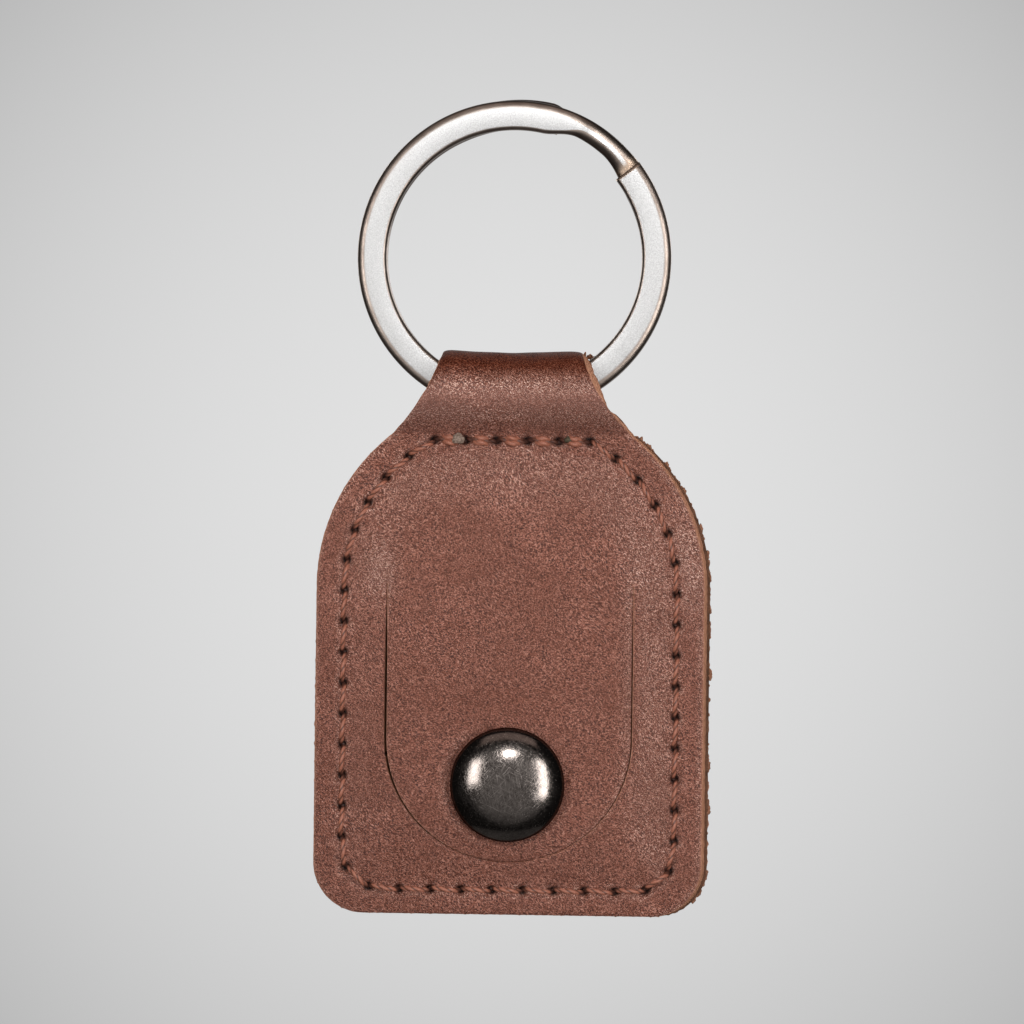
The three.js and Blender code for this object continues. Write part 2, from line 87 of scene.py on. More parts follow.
# Leather strip
LEATHER = 1.2
ARCH = 36.4
CORNER = 5.6
NECK_HALF = 7.7
NECK_TAPER = 0.25
NECK_JOIN = 51
LOOP_FOOT = 53.5
LOOP_WIDEST = 58.2
LOOP_SQUARE = 2.3
LOOP_SHEEN = 57.2
LOOP_SHEEN_REACH = 2.0
FOLD_SADDLE = 0.32
FRONT_RISE = FLAP_FACE - LEATHER
BACK_RISE = 3.0
LAYER_GAP = 0.03
SLIT = 0.22
SLIT_END = 0.02
SLIT_SKEW = 0.42
SLIT_LEAN = 0.85
EDGE_ROLL = 0.26
EDGE_ROLL_REACH = 0.36
EDGE_SLANT = 0.5
FOLD_SLANT = 2.2
RING_CLEAR = 0.18
BACK_PROUD = 0.25
EDGE_BULGE = 0.07
EDGE_FUZZ = 0.05
BACK_FUZZ = 0.2
FOLD_FUZZ = 2.5
# Painted shade on the back layer's cut edge, which lies deeper
BACK_SHADE = 0.25
EDGE_BANDS = (0.05, 0.22, 0.42, 0.62, 0.82, 0.96)
# Pale rim of the grain: rubbed along the outer edge, and a painted highlight along the slit
RIM_WEAR_AND_HIGHLIGHT = 0.4
# Painted shade on the slit's walls, more where the slit is wide
SLIT_SHADE = 0.25
WIDE_SLIT_SHADE = 0.15
# Painted sheen and glints on the grain: on slopes, on the swell of the loop, in bells beside the slits'
# tops and in a band on the right border
SLOPE_PAINTED_SHEEN = 0.18
LOOP_PAINTED_SHEEN = 0.85
GLINT_BELL_LEFT = 0.42
GLINT_BELL_RIGHT = 0.1
GLINT_BAND_BORDER = 0.42

# Fibre clumps on the raw edge
CLUMP_SEED = 11
CLUMP_HEIGHTS = (52.4, 49.8, 47.5, 43.0, 40.4, 38.2, 31.5, 27.0, 17.0, 12.5, 4.2, 2.6)
# Painted shade on the fibre clumps
CLUMP_SHADE = 0.36
GROUP_CLUMPS = 5
LOOSE_CLUMPS = 40
FOLD_CLUMPS = 16
CLUMP_ROWS = 9
CLUMP_SIDES = 12

# Rows and columns of the leather's meshes
CORNER_ROWS = 34
PANEL_ROWS = 138
NECK_ROWS = 72
BORDER_COLUMNS = 36
FLAP_COLUMNS = 119
BACK_CORNER_ROWS = 26
BACK_ROWS = 165
BACK_COLUMNS = 150
LOOP_ROWS = 60

# Seam
SEAM_INSET = 3.05
SEAM_BOTTOM = 2.7
SEAM_TOP = 52.8
SEAM_CORNER = 4.5
STITCH_PITCH = 3.47
SLIT_SLANT = 10
HOLE_LONG = 0.56
HOLE_WIDE = 0.48
HOLE_DEPTH = 0.85
GROOVE = 0.16
GROOVE_WIDE = 0.5
# Painted shade in the groove under the thread
GROOVE_SHADE = 0.32
PUCKER = 0.09
PUCKER_WIDE = 1.3
CREASE = 0.08
CREASE_LONG = 0.24
CREASE_WIDE = 0.9
SEAM_HALF = BODY_HALF - SEAM_INSET

# Pocket
POCKET_FOOT = 0.9
FRONT_SLOPE = 6.5
BACK_SLOPE = 4.5
TOP_SLOPE = 9.0
CLIMB_BLEND = 7.0
UNDULATION = 0.06
CAP_DENT = 0.2
EYELET_DENT = 0.4
DENT_PAST = 0.8
DENT_SOFT = 0.28

# Thread
THREAD = 0.3
THREAD_RIDE = 0.1
THREAD_DIVE = 1.35
THREAD_LAY = 2.1
PLIES = 2
PLY_DEPTH = 0.3
STITCH_SLANT = 0.14
STITCH_STEPS = 28
# Painted shade on the needle thread under the tack stitches
SHADE_UNDER_TACK = 0.2

# Split ring
WIRE_WIDTH = 3.3
WIRE_THICK = 1.32
WIRE_EDGE = 0.52
OUTER_EDGE = 0.9
INNER_EDGE = 0.46
TURN_GAP = 0.25
RING_START = 38
RING_STEP = 63
RING_END = 72
STEP_WIDTH = 2.4
STEP_FLAT = 0.4
SPRUNG_OUT = 0.36
SPRUNG_OVER = 45
WORN_FROM = 21.3
WORN_OVER = 6.0
RING_SECTIONS = 480
RING_INNER = RING_OUTER - WIRE_WIDTH
RING_CENTRE = HANG - RING_INNER

# Press stud's cap
CAP_EQUATOR = 0.9
CAP_SHEET = 0.4
CAP_LIP = 1.1
CAP_ROLL = 0.55

# Photograph's view
VIEW_AZIMUTH = 2.0
VIEW_ROLL = 0.7
VIEW_DISTANCE = 500.0
VIEW_WIDTH = 114.3
VIEW_HEIGHT = 44.85
VIEW_SIDE = 0.05
SENSOR = 36.0

# Floor, in metres: how far below the hang point, and its radius
FLOOR_DROP = 1.6
FLOOR_RADIUS = 1.2
FLOOR_RINGS = 12
FLOOR_SIDES = 96


# Mesh helpers

def to_frame(points):
    """Millimetres with height above the leather's bottom edge, as metres of the shared frame."""
    return (points - np.array([0.0, 0.0, HANG])) * MM


def make_mesh(name, points, faces, sharp=None, **values):
    """A smooth mesh object from points in millimetres, groups of faces with equal corner counts,
    and named values for each point. Edges between two sharp points stay sharp."""
    mesh = bpy.data.meshes.new(name)
    mesh.vertices.add(len(points))
    mesh.vertices.foreach_set("co", to_frame(points).astype(np.float32).ravel())
    faces = [np.asarray(group, np.int32) for group in faces if len(group)]
    corners_each = np.concatenate([np.full(len(group), group.shape[1]) for group in faces])
    order = np.concatenate([group.ravel() for group in faces])
    mesh.loops.add(len(order))
    mesh.loops.foreach_set("vertex_index", order.astype(np.int32))
    mesh.polygons.add(len(corners_each))
    starts = np.concatenate([[0], np.cumsum(corners_each)[:-1]])
    mesh.polygons.foreach_set("loop_start", starts.astype(np.int32))
    mesh.polygons.foreach_set("use_smooth", np.ones(len(corners_each), bool))
    mesh.update(calc_edges=True)
    if sharp is not None:
        ends = np.empty(2 * len(mesh.edges), np.int32)
        mesh.edges.foreach_get("vertices", ends)
        mesh.edges.foreach_set("use_edge_sharp", sharp[ends.reshape(-1, 2)].all(1))
    for key, value in values.items():
        layer = mesh.attributes.new(key, "FLOAT", "POINT")
        layer.data.foreach_set("value", np.asarray(value, np.float32))
    mesh.validate()
    piece = bpy.data.objects.new(name, mesh)
    bpy.context.scene.collection.objects.link(piece)
    return piece


def joined(*columns):
    """Numbers side by side along a last axis, each spread to the shape that they share."""
    return np.stack(np.broadcast_arrays(*columns), -1)


def full_turn(count):
    """A row of even angles once round."""
    return np.linspace(0, 2 * math.pi, count, endpoint=False)[None, :]


def grid_quads(rows, columns, around=False, endless=False):
    """Corner numbers of a grid's faces, closed across its columns or along its rows where asked."""
    r = np.arange(rows if endless else rows - 1)[:, None]
    c = np.arange(columns if around else columns - 1)[None, :]
    nr = (r + 1) % rows
    nc = (c + 1) % columns
    near = r * columns
    far = nr * columns
    return joined(near + c, near + nc, far + nc, far + c).reshape(-1, 4)


def tube_mesh(name, rings, endless=False, **values):
    """A skin over equal rings of points, joined end to end, or closed at each end by a fan."""
    count, sides = rings.shape[:2]
    points = rings.reshape(-1, 3)
    faces = [grid_quads(count, sides, around=True, endless=endless)]
    if not endless:
        painted_glint_tips = np.stack([rings[0].mean(0), rings[-1].mean(0)])
        j = np.arange(sides)
        k = (j + 1) % sides
        near = joined(len(points), k, j)
        end = (count - 1) * sides
        far = joined(len(points) + 1, end + j, end + k)
        faces += [np.concatenate([near, far])]
        points = np.concatenate([points, painted_glint_tips])
        pads = (0, sides * (count - 1))
        values = {key: np.concatenate([v, v[list(pads)]]) for key, v in values.items()}
    return make_mesh(name, points, faces, **values)


def smoothstep(low, high, value):
    """Zero below low, one above high, and a cubic ease between them."""
    t = np.clip((value - low) / (high - low), 0, 1)
    return t * t * (3 - 2 * t)


def unit(vectors):
    """Vectors of length one along the given ones."""
    return vectors / np.maximum(np.linalg.norm(vectors, axis=1, keepdims=True), 1e-12)


def travelled(line):
    """Distance travelled along a line at each of its points."""
    return np.concatenate([[0], np.cumsum(np.linalg.norm(np.diff(line, axis=0), axis=1))])


def points_at(line, at):
    """Points of a line at distances travelled along it."""
    travel = travelled(line)
    return np.stack([np.interp(at, travel, column) for column in line.T], -1)


# Leather outline, seam and relief

def neck_edge():
    """Edge of the neck: a quadratic curve from the shoulder arch to the fold, whose handle lies
    where the tangents at its two ends cross."""
    join = math.radians(NECK_JOIN)
    start = np.array([BODY_HALF * math.cos(join), ARCH + BODY_HALF * math.sin(join)])
    end = np.array([NECK_HALF, FOLD])
    lean = math.sin(join) - NECK_TAPER * math.cos(join)
    run = (start[0] - NECK_HALF - NECK_TAPER * (FOLD - start[1])) / lean
    handle = start + run * np.array([-math.sin(join), math.cos(join)])
    t = np.linspace(0, 1, 60)[:, None]
    return (1 - t) ** 2 * start + 2 * t * (1 - t) * handle + t ** 2 * end


NECK = neck_edge()


def half_width(height):
    """Half width of the strip at a height: bottom corner circle, straight side, arch, neck."""
    height = np.clip(height, 0, FOLD)
    corner = BODY_HALF - CORNER + np.sqrt(np.clip(CORNER ** 2 - (CORNER - height) ** 2, 0, None))
    arch = np.sqrt(np.clip(BODY_HALF ** 2 - (height - ARCH) ** 2, 0, None))
    neck = np.interp(height, NECK[:, 1], NECK[:, 0])
    upper = np.where(height < NECK[0, 1], arch, neck)
    lower = np.where(height < CORNER, corner, BODY_HALF)
    return np.where(height < ARCH, lower, upper)


def edge_distance(x, height):
    """Distance in from the strip's cut edge, by the same circles and straights as the outline."""
    wide = np.abs(x)
    side = BODY_HALF - CORNER
    curved = CORNER - np.hypot(wide - side, CORNER - height)
    square = np.minimum(BODY_HALF - wide, height)
    lower = np.where((height < CORNER) & (wide > side), curved, square)
    arch = BODY_HALF - np.hypot(x, height - ARCH)
    neck = 0.85 * (half_width(height) - wide)
    upper = np.where(height < NECK[0, 1], arch, neck)
    return np.clip(np.where(height < ARCH, lower, upper), 0, None)


def arc(x, height, radius, start, end, count=60):
    """Points on a circle between two angles in degrees."""
    a = np.radians(np.linspace(start, end, count))
    return joined(x + radius * np.cos(a), height + radius * np.sin(a))


def stitch_places():
    """Stitch holes, spread evenly along two runs: straight across the top from right to left, and
    from there round the pocket. Each has the direction from the hole before to the hole after."""
    shoulder = math.degrees(math.asin((SEAM_TOP - ARCH) / SEAM_HALF))
    top = SEAM_HALF * math.cos(math.radians(shoulder))
    side = SEAM_HALF - SEAM_CORNER
    foot = SEAM_BOTTOM + SEAM_CORNER
    across = np.array([[top, SEAM_TOP], [-top, SEAM_TOP]])
    around = np.concatenate([
        arc(0, ARCH, SEAM_HALF, 180 - shoulder, 180),
        arc(-side, foot, SEAM_CORNER, 180, 270),
        arc(side, foot, SEAM_CORNER, 270, 360),
        arc(0, ARCH, SEAM_HALF, 0, shoulder),
    ])
    holes = []
    for run in (across, around):
        length = travelled(run)[-1]
        count = round(length / STITCH_PITCH)
        holes.append(points_at(run, length * np.arange(count) / count))
    holes = np.concatenate(holes)
    along = np.roll(holes, -1, 0) - np.roll(holes, 1, 0)
    return holes, unit(along)


HOLES, ALONG = stitch_places()
TOP_RUN = round(2 * abs(HOLES[0, 0]) / STITCH_PITCH)


def beside_stitch(x, height):
    """Each point's place beside its nearest stitch hole: along the seam, and across it."""
    points = joined(x, height).reshape(-1, 2)
    gap = points[:, None, :] - HOLES[None]
    nearest = (gap ** 2).sum(-1).argmin(1)
    own = gap[np.arange(len(points)), nearest]
    way = ALONG[nearest]
    a = (own * way).sum(-1)
    b = own[:, 1] * way[:, 0] - own[:, 0] * way[:, 1]
    return a.reshape(x.shape), b.reshape(x.shape)


def hole_depth(a, b):
    """A stitch hole, one at its middle: a bell over a long ellipse that is turned off the seam."""
    turn = math.radians(SLIT_SLANT)
    long = (a * math.cos(turn) + b * math.sin(turn)) / HOLE_LONG
    wide = (b * math.cos(turn) - a * math.sin(turn)) / HOLE_WIDE
    return np.exp(-(long ** 2 + wide ** 2) ** 1.5)


def seam_relief(a, b):
    """Height that the seam adds: a groove, holes, a bulge between holes and a crease at each."""
    groove = -GROOVE * np.exp(-(b / GROOVE_WIDE) ** 2)
    pucker = -PUCKER * np.cos(2 * math.pi * a / STITCH_PITCH) * np.exp(-(b / PUCKER_WIDE) ** 2)
    crease = -CREASE * np.exp(-(a / CREASE_LONG) ** 2 - np.abs(b) / CREASE_WIDE)
    return groove + pucker + crease - HOLE_DEPTH * hole_depth(a, b)


def pocket_climb(x, height, slope):
    """How far the pocket has swollen, from 0 at its foot to 1 on its flat: a soft minimum of the
    distances from the sides, bottom and top, each over the length of its slope, then a sine."""
    foot = SEAM_HALF - POCKET_FOOT
    side = foot - np.where(height > ARCH, np.hypot(x, height - ARCH), np.abs(x))
    low = height - (SEAM_BOTTOM + POCKET_FOOT)
    high = SEAM_TOP - POCKET_FOOT - height
    climbs = np.stack([side / slope, low / slope, high / TOP_SLOPE])
    soft = -np.log(np.exp(-CLIMB_BLEND * climbs).sum(0)) / CLIMB_BLEND
    return np.sin(np.clip(soft, 0, 1) * math.pi / 2)


def undulation(x, height):
    """Slow waves in the leather, a sum of sines in slanting directions."""
    waves = np.sin(0.31 * x + 0.23 * height + 0.6) + np.sin(0.19 * x - 0.37 * height + 2.1)
    waves += 0.7 * np.sin(0.53 * x + 0.11 * height + 4.0) + 0.5 * np.sin(0.13 * x + 0.71 * height)
    return UNDULATION * waves / 3


def slit_distance(x, height):
    """Distance to the cut round the flap: two straights and a half circle, open at the hinge."""
    bend = FLAP_TIP + FLAP_HALF
    ends = np.hypot(np.abs(x) - FLAP_HALF, height - HINGE)
    sides = np.abs(np.abs(x) - FLAP_HALF)
    tip = np.abs(np.hypot(x, height - bend) - FLAP_HALF)
    return np.where(height > HINGE, ends, np.where(height > bend, sides, tip))


def slit_gap(x, height):
    """Half width of the slit: widest along the sides of the flap, narrow at its ends and its tip,
    and wider on the left than on the right."""
    open_up = smoothstep(0, 10, HINGE - height) * smoothstep(-3, 14, height - FLAP_TIP)
    skew = 1 - SLIT_SKEW * np.tanh(x)
    return skew * (SLIT_END + (SLIT - SLIT_END) * open_up) / 2


def edge_roll(distance):
    """How far the grain rolls down towards a cut edge."""
    return EDGE_ROLL * np.exp(-distance / EDGE_ROLL_REACH)


def snap_dent(x, height, radius, depth):
    """A dent pressed by a round piece of the press stud: flat under it, fading out past its rim."""
    away = np.hypot(x, height - SNAP)
    return depth / (1 + np.exp((away - radius - DENT_PAST) / DENT_SOFT))


def front_face(x, height):
    """Height of the front's grain above the middle of the leather, and its painted shade, in the holes
    and in the groove under the thread."""
    a, b = beside_stitch(x, height)
    rise = LEATHER + FRONT_RISE * pocket_climb(x, height, FRONT_SLOPE) + seam_relief(a, b)
    rise += undulation(x, height) * smoothstep(0, 4, edge_distance(x, height))
    rise -= edge_roll(edge_distance(x, height)) + 0.5 * edge_roll(slit_distance(x, height))
    rise -= snap_dent(x, height, CAP_RADIUS, CAP_DENT)
    return rise, np.maximum(hole_depth(a, b), GROOVE_SHADE * np.exp(-(b / 0.36) ** 2))


def back_face(x, height):
    """The same for the grain of the back, with painted shade in the holes only."""
    a, b = beside_stitch(x, height)
    rise = LEATHER + BACK_RISE * pocket_climb(x, height, BACK_SLOPE) + seam_relief(a, b)
    rise += undulation(-x, height + 20) * smoothstep(0, 4, edge_distance(x, height))
    rise -= edge_roll(edge_distance(x, height)) + snap_dent(x, height, eyelet_high[0], EYELET_DENT)
    return rise, hole_depth(a, b)


# Leather pieces

def sheet_normals(points, faces):
    """Unit normals of a sheet's points, from the cross products of its faces' diagonals."""
    total = np.zeros_like(points)
    for group in faces:
        last = group[:, -1]
        face = np.cross(points[group[:, 2]] - points[group[:, 0]], points[last] - points[group[:, 1]])
        for corner in group.T:
            np.add.at(total, corner, face)
    return unit(total)


def fibre_noise(points):
    """Rough fibres along a cut edge, from minus one to one: a product of fast sines."""
    x, y, z = points.T
    coarse = np.sin(2.9 * z + 1.7 * x + 0.8 * y) * np.sin(4.7 * x - 3.1 * z + 1.3)
    fine = np.sin(13.1 * z + 9.7 * x + 5.3 * y) * np.sin(17.9 * x - 11.3 * z + 7.7 * y)
    return 0.6 * coarse + 0.6 * fine


def painted_glint_places(x, height):
    """Where glints and sheen are painted on the grain: a bell beside the top of each slit, and a band
    along the border of the right shoulder."""
    beside = np.abs(x) - FLAP_HALF - 0.8
    bell = np.exp(-(beside / 1.6) ** 2 - ((height - HINGE - 1.2) / 2.8) ** 2)
    inward = edge_distance(x, height) - 1.5
    band = np.exp(-(inward / 0.9) ** 2 - ((height - ARCH - 2.5) / 5.0) ** 2) * (x > 0)
    return np.where(x < 0, GLINT_BELL_LEFT, GLINT_BELL_RIGHT) * bell + GLINT_BAND_BORDER * band


def off_ring(points):
    """Points of the loop's edge, moved left where the ring would meet them as the leather swings. A
    point may lie as far right as the place where the ring's corner, on its inner circle, is as far
    from the swing's axis as the point is."""
    above_axis = points[:, 2] - RING_CENTRE + RING_INNER
    away = np.hypot(points[:, 1], above_axis) - RING_CLEAR
    ring_rise = np.sqrt(np.clip(away ** 2 - (WIRE_THICK + TURN_GAP / 2) ** 2, 0, RING_INNER ** 2))
    reach = np.sqrt(RING_INNER ** 2 - (RING_INNER - ring_rise) ** 2)
    moved = points.copy()
    moved[:, 0] -= smoothstep(-3.4, -1.4, above_axis) * np.clip(points[:, 0] - reach, 0, None)
    return moved


def open_edges(faces, count):
    """Edges that only one face of a sheet uses, in that face's direction."""
    edges = np.concatenate([joined(g, np.roll(g, -1, 1)).reshape(-1, 2) for g in faces])
    forward = edges[:, 0] * count + edges[:, 1]
    backward = edges[:, 1] * count + edges[:, 0]
    return edges[~np.isin(forward, backward)]


def fold_shade_and_painted_sheen(outer, normal):
    """Painted shade on the fold, where it faces up, and painted sheen and glints on the grain: on slopes,
    more on those that face right, towards the brighter right lamp, in bells beside the slits' tops and
    a band on the right border, and on the swell of the loop by a bell."""
    # Painted shade on the top of the fold, where it faces up
    burnish = smoothstep(0.05, 0.7, normal[:, 2]) * (outer[:, 2] > LOOP_WIDEST)
    # Painted sheen is stronger on slopes that face right, towards the brighter right lamp
    sideways = np.where(normal[:, 0] > 0, normal[:, 0], 0.3 * normal[:, 0])
    sloping = smoothstep(0.01, 0.25, np.hypot(sideways, np.clip(normal[:, 2], 0, 1)))
    above_sheen = outer[:, 2] - LOOP_SHEEN
    bulging = LOOP_PAINTED_SHEEN * np.exp(-(above_sheen / LOOP_SHEEN_REACH) ** 2)
    flat = SLOPE_PAINTED_SHEEN * sloping + painted_glint_places(outer[:, 0], outer[:, 2])
    return burnish, np.where(outer[:, 2] > LOOP_FOOT, bulging, flat)


def outward_ways(outer, normal, rim_edges):
    """Way out of a sheet at each point of its open edges, across the edge and along the sheet."""
    out = np.zeros_like(outer)
    way = outer[rim_edges[:, 1]] - outer[rim_edges[:, 0]]
    for ends in rim_edges.T:
        np.add.at(out, ends, np.cross(way, normal[ends]))
    return unit(out)


def cut_edge(outer, inner, outward, free, in_slit, shade, fuzz):
    """Cut edge between the rims of the grain and the flesh, as bands of points. It bulges by one minus
    the fourth power of the distance from its middle, is rough with fibres, and slants out to the
    right, more at the fold, where it turns back off the ring. The slit's two walls are smooth, lean
    together, and carry painted shade, deeper where the slit is wide. Where free is zero, the edge is
    plain. Gives the flesh's new rim, the bands, and the painted shade of a band."""
    near_fold = smoothstep(LOOP_WIDEST - 2, LOOP_WIDEST + 2, outer[:, 2:])
    slant = EDGE_SLANT + (FOLD_SLANT - EDGE_SLANT) * near_fold
    gap = slit_gap(outer[:, 0], outer[:, 2])
    slant = slant * np.clip(outward[:, :1], 0, 1)
    slant = np.where(in_slit[:, None], SLIT_LEAN * gap[:, None], slant)
    slanted = inner + slant * outward * free
    bands = []
    for across in EDGE_BANDS:
        middle = off_ring(outer + across * (slanted - outer))
        rough = fuzz * (1 + FOLD_FUZZ * near_fold[:, 0]) * (0.3 + 0.7 * across)
        bulge = EDGE_BULGE * (1 - (2 * across - 1) ** 4) + rough * fibre_noise(middle)
        bulge = np.where(in_slit, 0.0, bulge)
        bands.append(middle + outward * bulge[:, None] * free)
    # Painted shade on the slit's walls, deeper where the slit is wide
    slit_shade = SLIT_SHADE + WIDE_SLIT_SHADE * smoothstep(0, 0.5 * SLIT, gap)
    return off_ring(slanted), bands, np.where(in_slit, slit_shade, shade)


def leather_shell(name, outer, inner, quads, triangles, hole, flush, shade=0.0, fuzz=EDGE_FUZZ):
    """A closed sheet of leather: outer grain, inner flesh turned round, and a cut edge along every
    open side, plain where flush is set, because leather goes on there. The grain is rubbed pale along
    the outer edge, and along the slit it has a painted highlight only where the edge faces left."""
    count = len(outer)
    faces = [group for group in (quads, triangles) if len(group)]
    rim_edges = open_edges(faces, count)
    rim = np.unique(rim_edges)
    normal = sheet_normals(outer, faces)
    outward = outward_ways(outer, normal, rim_edges)[rim]
    free = 1.0 - flush[rim][:, None]
    in_slit = slit_distance(outer[rim, 0], outer[rim, 2]) < SLIT
    inner = inner.copy()
    inner[rim], bands, dark = cut_edge(outer[rim], inner[rim], outward, free, in_slit, shade, fuzz)
    number = np.zeros(count, int)
    number[rim] = np.arange(len(rim))
    lines = [2 * count + i * len(rim) + number[rim_edges] for i in range(len(bands))]
    lines = [rim_edges, *lines, rim_edges + count]
    edge_faces = [joined(near[:, 1], near[:, 0], far[:, 0], far[:, 1])
                  for near, far in zip(lines, lines[1:])]
    flesh_faces = [group[:, ::-1] + count for group in faces]
    edge_points = len(bands) * len(rim)
    plain = np.zeros(count + edge_points)
    raw = np.concatenate([np.zeros(2 * count), np.ones(edge_points)])
    # Rubbed pale rim along the outer edge; along the slit, a painted highlight where the edge faces left,
    # towards the left lamp
    raw[rim] = RIM_WEAR_AND_HIGHLIGHT * np.where(in_slit, np.clip(-outward[:, 0], 0, 1), 1) * free[:, 0]
    flesh = np.concatenate([np.zeros(count), np.ones(count), np.zeros(edge_points)])
    # Painted shade of each point: the grain's from its holes and groove, none on the flesh, and each edge
    # band's own
    holes = np.concatenate([hole, np.zeros(count), np.tile(dark, len(bands))])
    sharp = np.concatenate([flush > 0, plain > 0])
    burnish, tilt = (np.concatenate([value, plain]) for value in fold_shade_and_painted_sheen(outer, normal))
    points = np.concatenate([outer, inner, *bands])
    return make_mesh(name, points, faces + flesh_faces + edge_faces, sharp,
                     raw=raw, flesh=flesh, hole=holes, burnish=burnish, tilt=tilt)


def used_only(faces, arrays):
    """Drops the points that no face uses, and renumbers the faces."""
    used = np.unique(np.concatenate([group.ravel() for group in faces]))
    number = np.full(len(arrays[0]), -1)
    number[used] = np.arange(len(used))
    return [number[group] for group in faces], [array[used] for array in arrays]


def corner_rows(count):
    """Heights of rows that climb a bottom corner by equal angles."""
    return CORNER * (1 - np.cos(np.linspace(0, math.pi / 2, count)))


def front_rows():
    """Heights of the rows on the front, with one row on the hinge."""
    middle = np.linspace(CORNER, HINGE, PANEL_ROWS)[1:]
    upper = np.linspace(HINGE, LOOP_FOOT, NECK_ROWS)[1:]
    return np.concatenate([corner_rows(CORNER_ROWS), middle, upper])


def front_columns():
    """Places of the columns as shares of the half width, with one on each side of the flap."""
    border = np.linspace(FLAP_HALF, BODY_HALF, BORDER_COLUMNS)
    middle = np.linspace(-FLAP_HALF, FLAP_HALF, FLAP_COLUMNS)
    return np.concatenate([-border[::-1], middle[1:-1], border]) / BODY_HALF


def flap_side(x, height):
    """Signed distance from the flap's outline, below zero inside it, and the way out of it."""
    bend = FLAP_TIP + FLAP_HALF
    reach = np.where(height > bend, np.abs(x), np.hypot(x, height - bend))
    way_x = np.where(height > bend, np.sign(x), x / np.maximum(reach, 1e-9))
    way_h = np.where(height > bend, 0.0, (height - bend) / np.maximum(reach, 1e-9))
    signed = reach - FLAP_HALF
    signed = np.where(np.isclose(height, HINGE), np.maximum(signed, 0), signed)
    return np.where(height > HINGE + 1e-6, 1.0, signed), way_x, way_h


def front_grid():
    """Grid of the front, with the points nearest to the flap's outline moved onto it, so that the
    panel and the flap share a clean line. Gives the grid, and for each point its distance from the
    line, below zero inside the flap, and the way out."""
    rows = front_rows()
    height = np.repeat(rows[:, None], len(front_columns()), 1)
    x = front_columns()[None, :] * half_width(rows)[:, None]
    signed, way_x, way_h = flap_side(x, height)
    signed = np.where(np.abs(signed) < 1e-6, 0.0, signed)
    snap = np.zeros(signed.shape, bool)
    for near, far in ((np.s_[:-1, :], np.s_[1:, :]), (np.s_[:, :-1], np.s_[:, 1:])):
        crosses = signed[near] * signed[far] < 0
        nearer = np.abs(signed[near]) <= np.abs(signed[far])
        snap[near] |= crosses & nearer
        snap[far] |= crosses & ~nearer
    x = np.where(snap, x - signed * way_x, x)
    height = np.where(snap, height - signed * way_h, height)
    signed = np.where(snap, 0.0, signed)
    return x, height, signed, way_x, way_h


def split_by_line(signed):
    """Faces of the grid on each side of the flap's outline. A face that the line crosses from
    corner to corner becomes two triangles, one for each side."""
    quads = grid_quads(*signed.shape)
    s = signed.ravel()[quads]
    mixed = (s > 0).any(1) & (s < 0).any(1)
    panel = [quads[~mixed & (s >= 0).all(1)]]
    flap = [quads[~mixed & (s <= 0).all(1)]]
    crossed = quads[mixed]
    flat = signed.ravel()
    first = flat[crossed[:, 0]] == 0
    halves = np.concatenate([
        crossed[first][:, [0, 1, 2]], crossed[first][:, [0, 2, 3]],
        crossed[~first][:, [1, 2, 3]], crossed[~first][:, [1, 3, 0]],
    ])
    above = (flat[halves] > 0).any(1)
    return panel + [halves[above]], flap + [halves[~above]]


def loop_line():
    """Side view of the loop's outside: out from the seam by a sine, round the fold by a superellipse,
    and back the same way. Gives evenly spaced points and their outward normals."""
    rise = np.linspace(0, 1, 80)
    lower = joined(LEATHER + (LOOP_DEPTH - LEATHER) * np.sin(math.pi / 2 * rise ** 1.2),
                   LOOP_FOOT + (LOOP_WIDEST - LOOP_FOOT) * rise)
    a = np.linspace(0, math.pi / 2, 160)[1:]
    crown = joined(LOOP_DEPTH * np.maximum(np.cos(a), 0) ** (2 / LOOP_SQUARE),
                   LOOP_WIDEST + (FOLD - LOOP_WIDEST) * np.sin(a) ** (2 / LOOP_SQUARE))
    half = np.concatenate([lower, crown])
    line = np.concatenate([half * [-1, 1], half[-2::-1]])
    even = points_at(line, np.linspace(0, travelled(line)[-1], LOOP_ROWS))
    along = unit(np.gradient(even, axis=0))
    return even, joined(-along[:, 1], along[:, 0])


def back_proud(share, height):
    """How far the back layer stands out past the front on the right, from the loop's foot down."""
    return BACK_PROUD * smoothstep(0.85, 1.0, share) * smoothstep(0, 6, LOOP_WIDEST - height)


def loop_rows():
    """Grid of the loop above the front: outer and inner points. The fold's ends stand a little
    higher than its middle, as thick leather does when it is bent."""
    line, normal = loop_line()
    line, normal = line[1:], normal[1:]
    share = front_columns()[None, :]
    x = share * half_width(line[:, 1])[:, None]
    up = np.clip(normal[:, 1:], 0, 1)
    lift = FOLD_SADDLE * up ** 2 * (share ** 2 - 1.0)
    roll = edge_roll(0.9 * (half_width(line[:, 1])[:, None] - np.abs(x)))
    depth = undulation(3 * x, 2 * line[:, 1:] + 3 * line[:, :1]) - roll
    x = x + back_proud(share, line[:, 1:]) * (line[:, :1] > 0)
    y = line[:, :1] + depth * normal[:, :1]
    height = line[:, 1:] + depth * normal[:, 1:] + lift
    inner_y = line[:, :1] - LEATHER * normal[:, :1]
    in_front = np.minimum(inner_y, -LAYER_GAP)
    apart = np.where(line[:, :1] < 0, in_front, np.maximum(inner_y, LAYER_GAP))
    inner_height = line[:, 1:] - LEATHER * normal[:, 1:]
    inner_x = x * half_width(inner_height) / half_width(line[:, 1:])
    return joined(x, y, height), joined(inner_x, apart, inner_height + lift)


def cut_front(side):
    """Grid of the front with the slit open: points on the flap's outline are moved out of it for the
    panel, where side is 1, and into it for the flap, where side is -1."""
    x, height, signed, way_x, way_h = front_grid()
    cut = (signed == 0) & (height < HINGE - 1e-6)
    gap = side * slit_gap(x, height)
    x = np.where(cut, x + gap * way_x, x)
    height = np.where(cut, height + gap * way_h, height)
    return x, height, signed


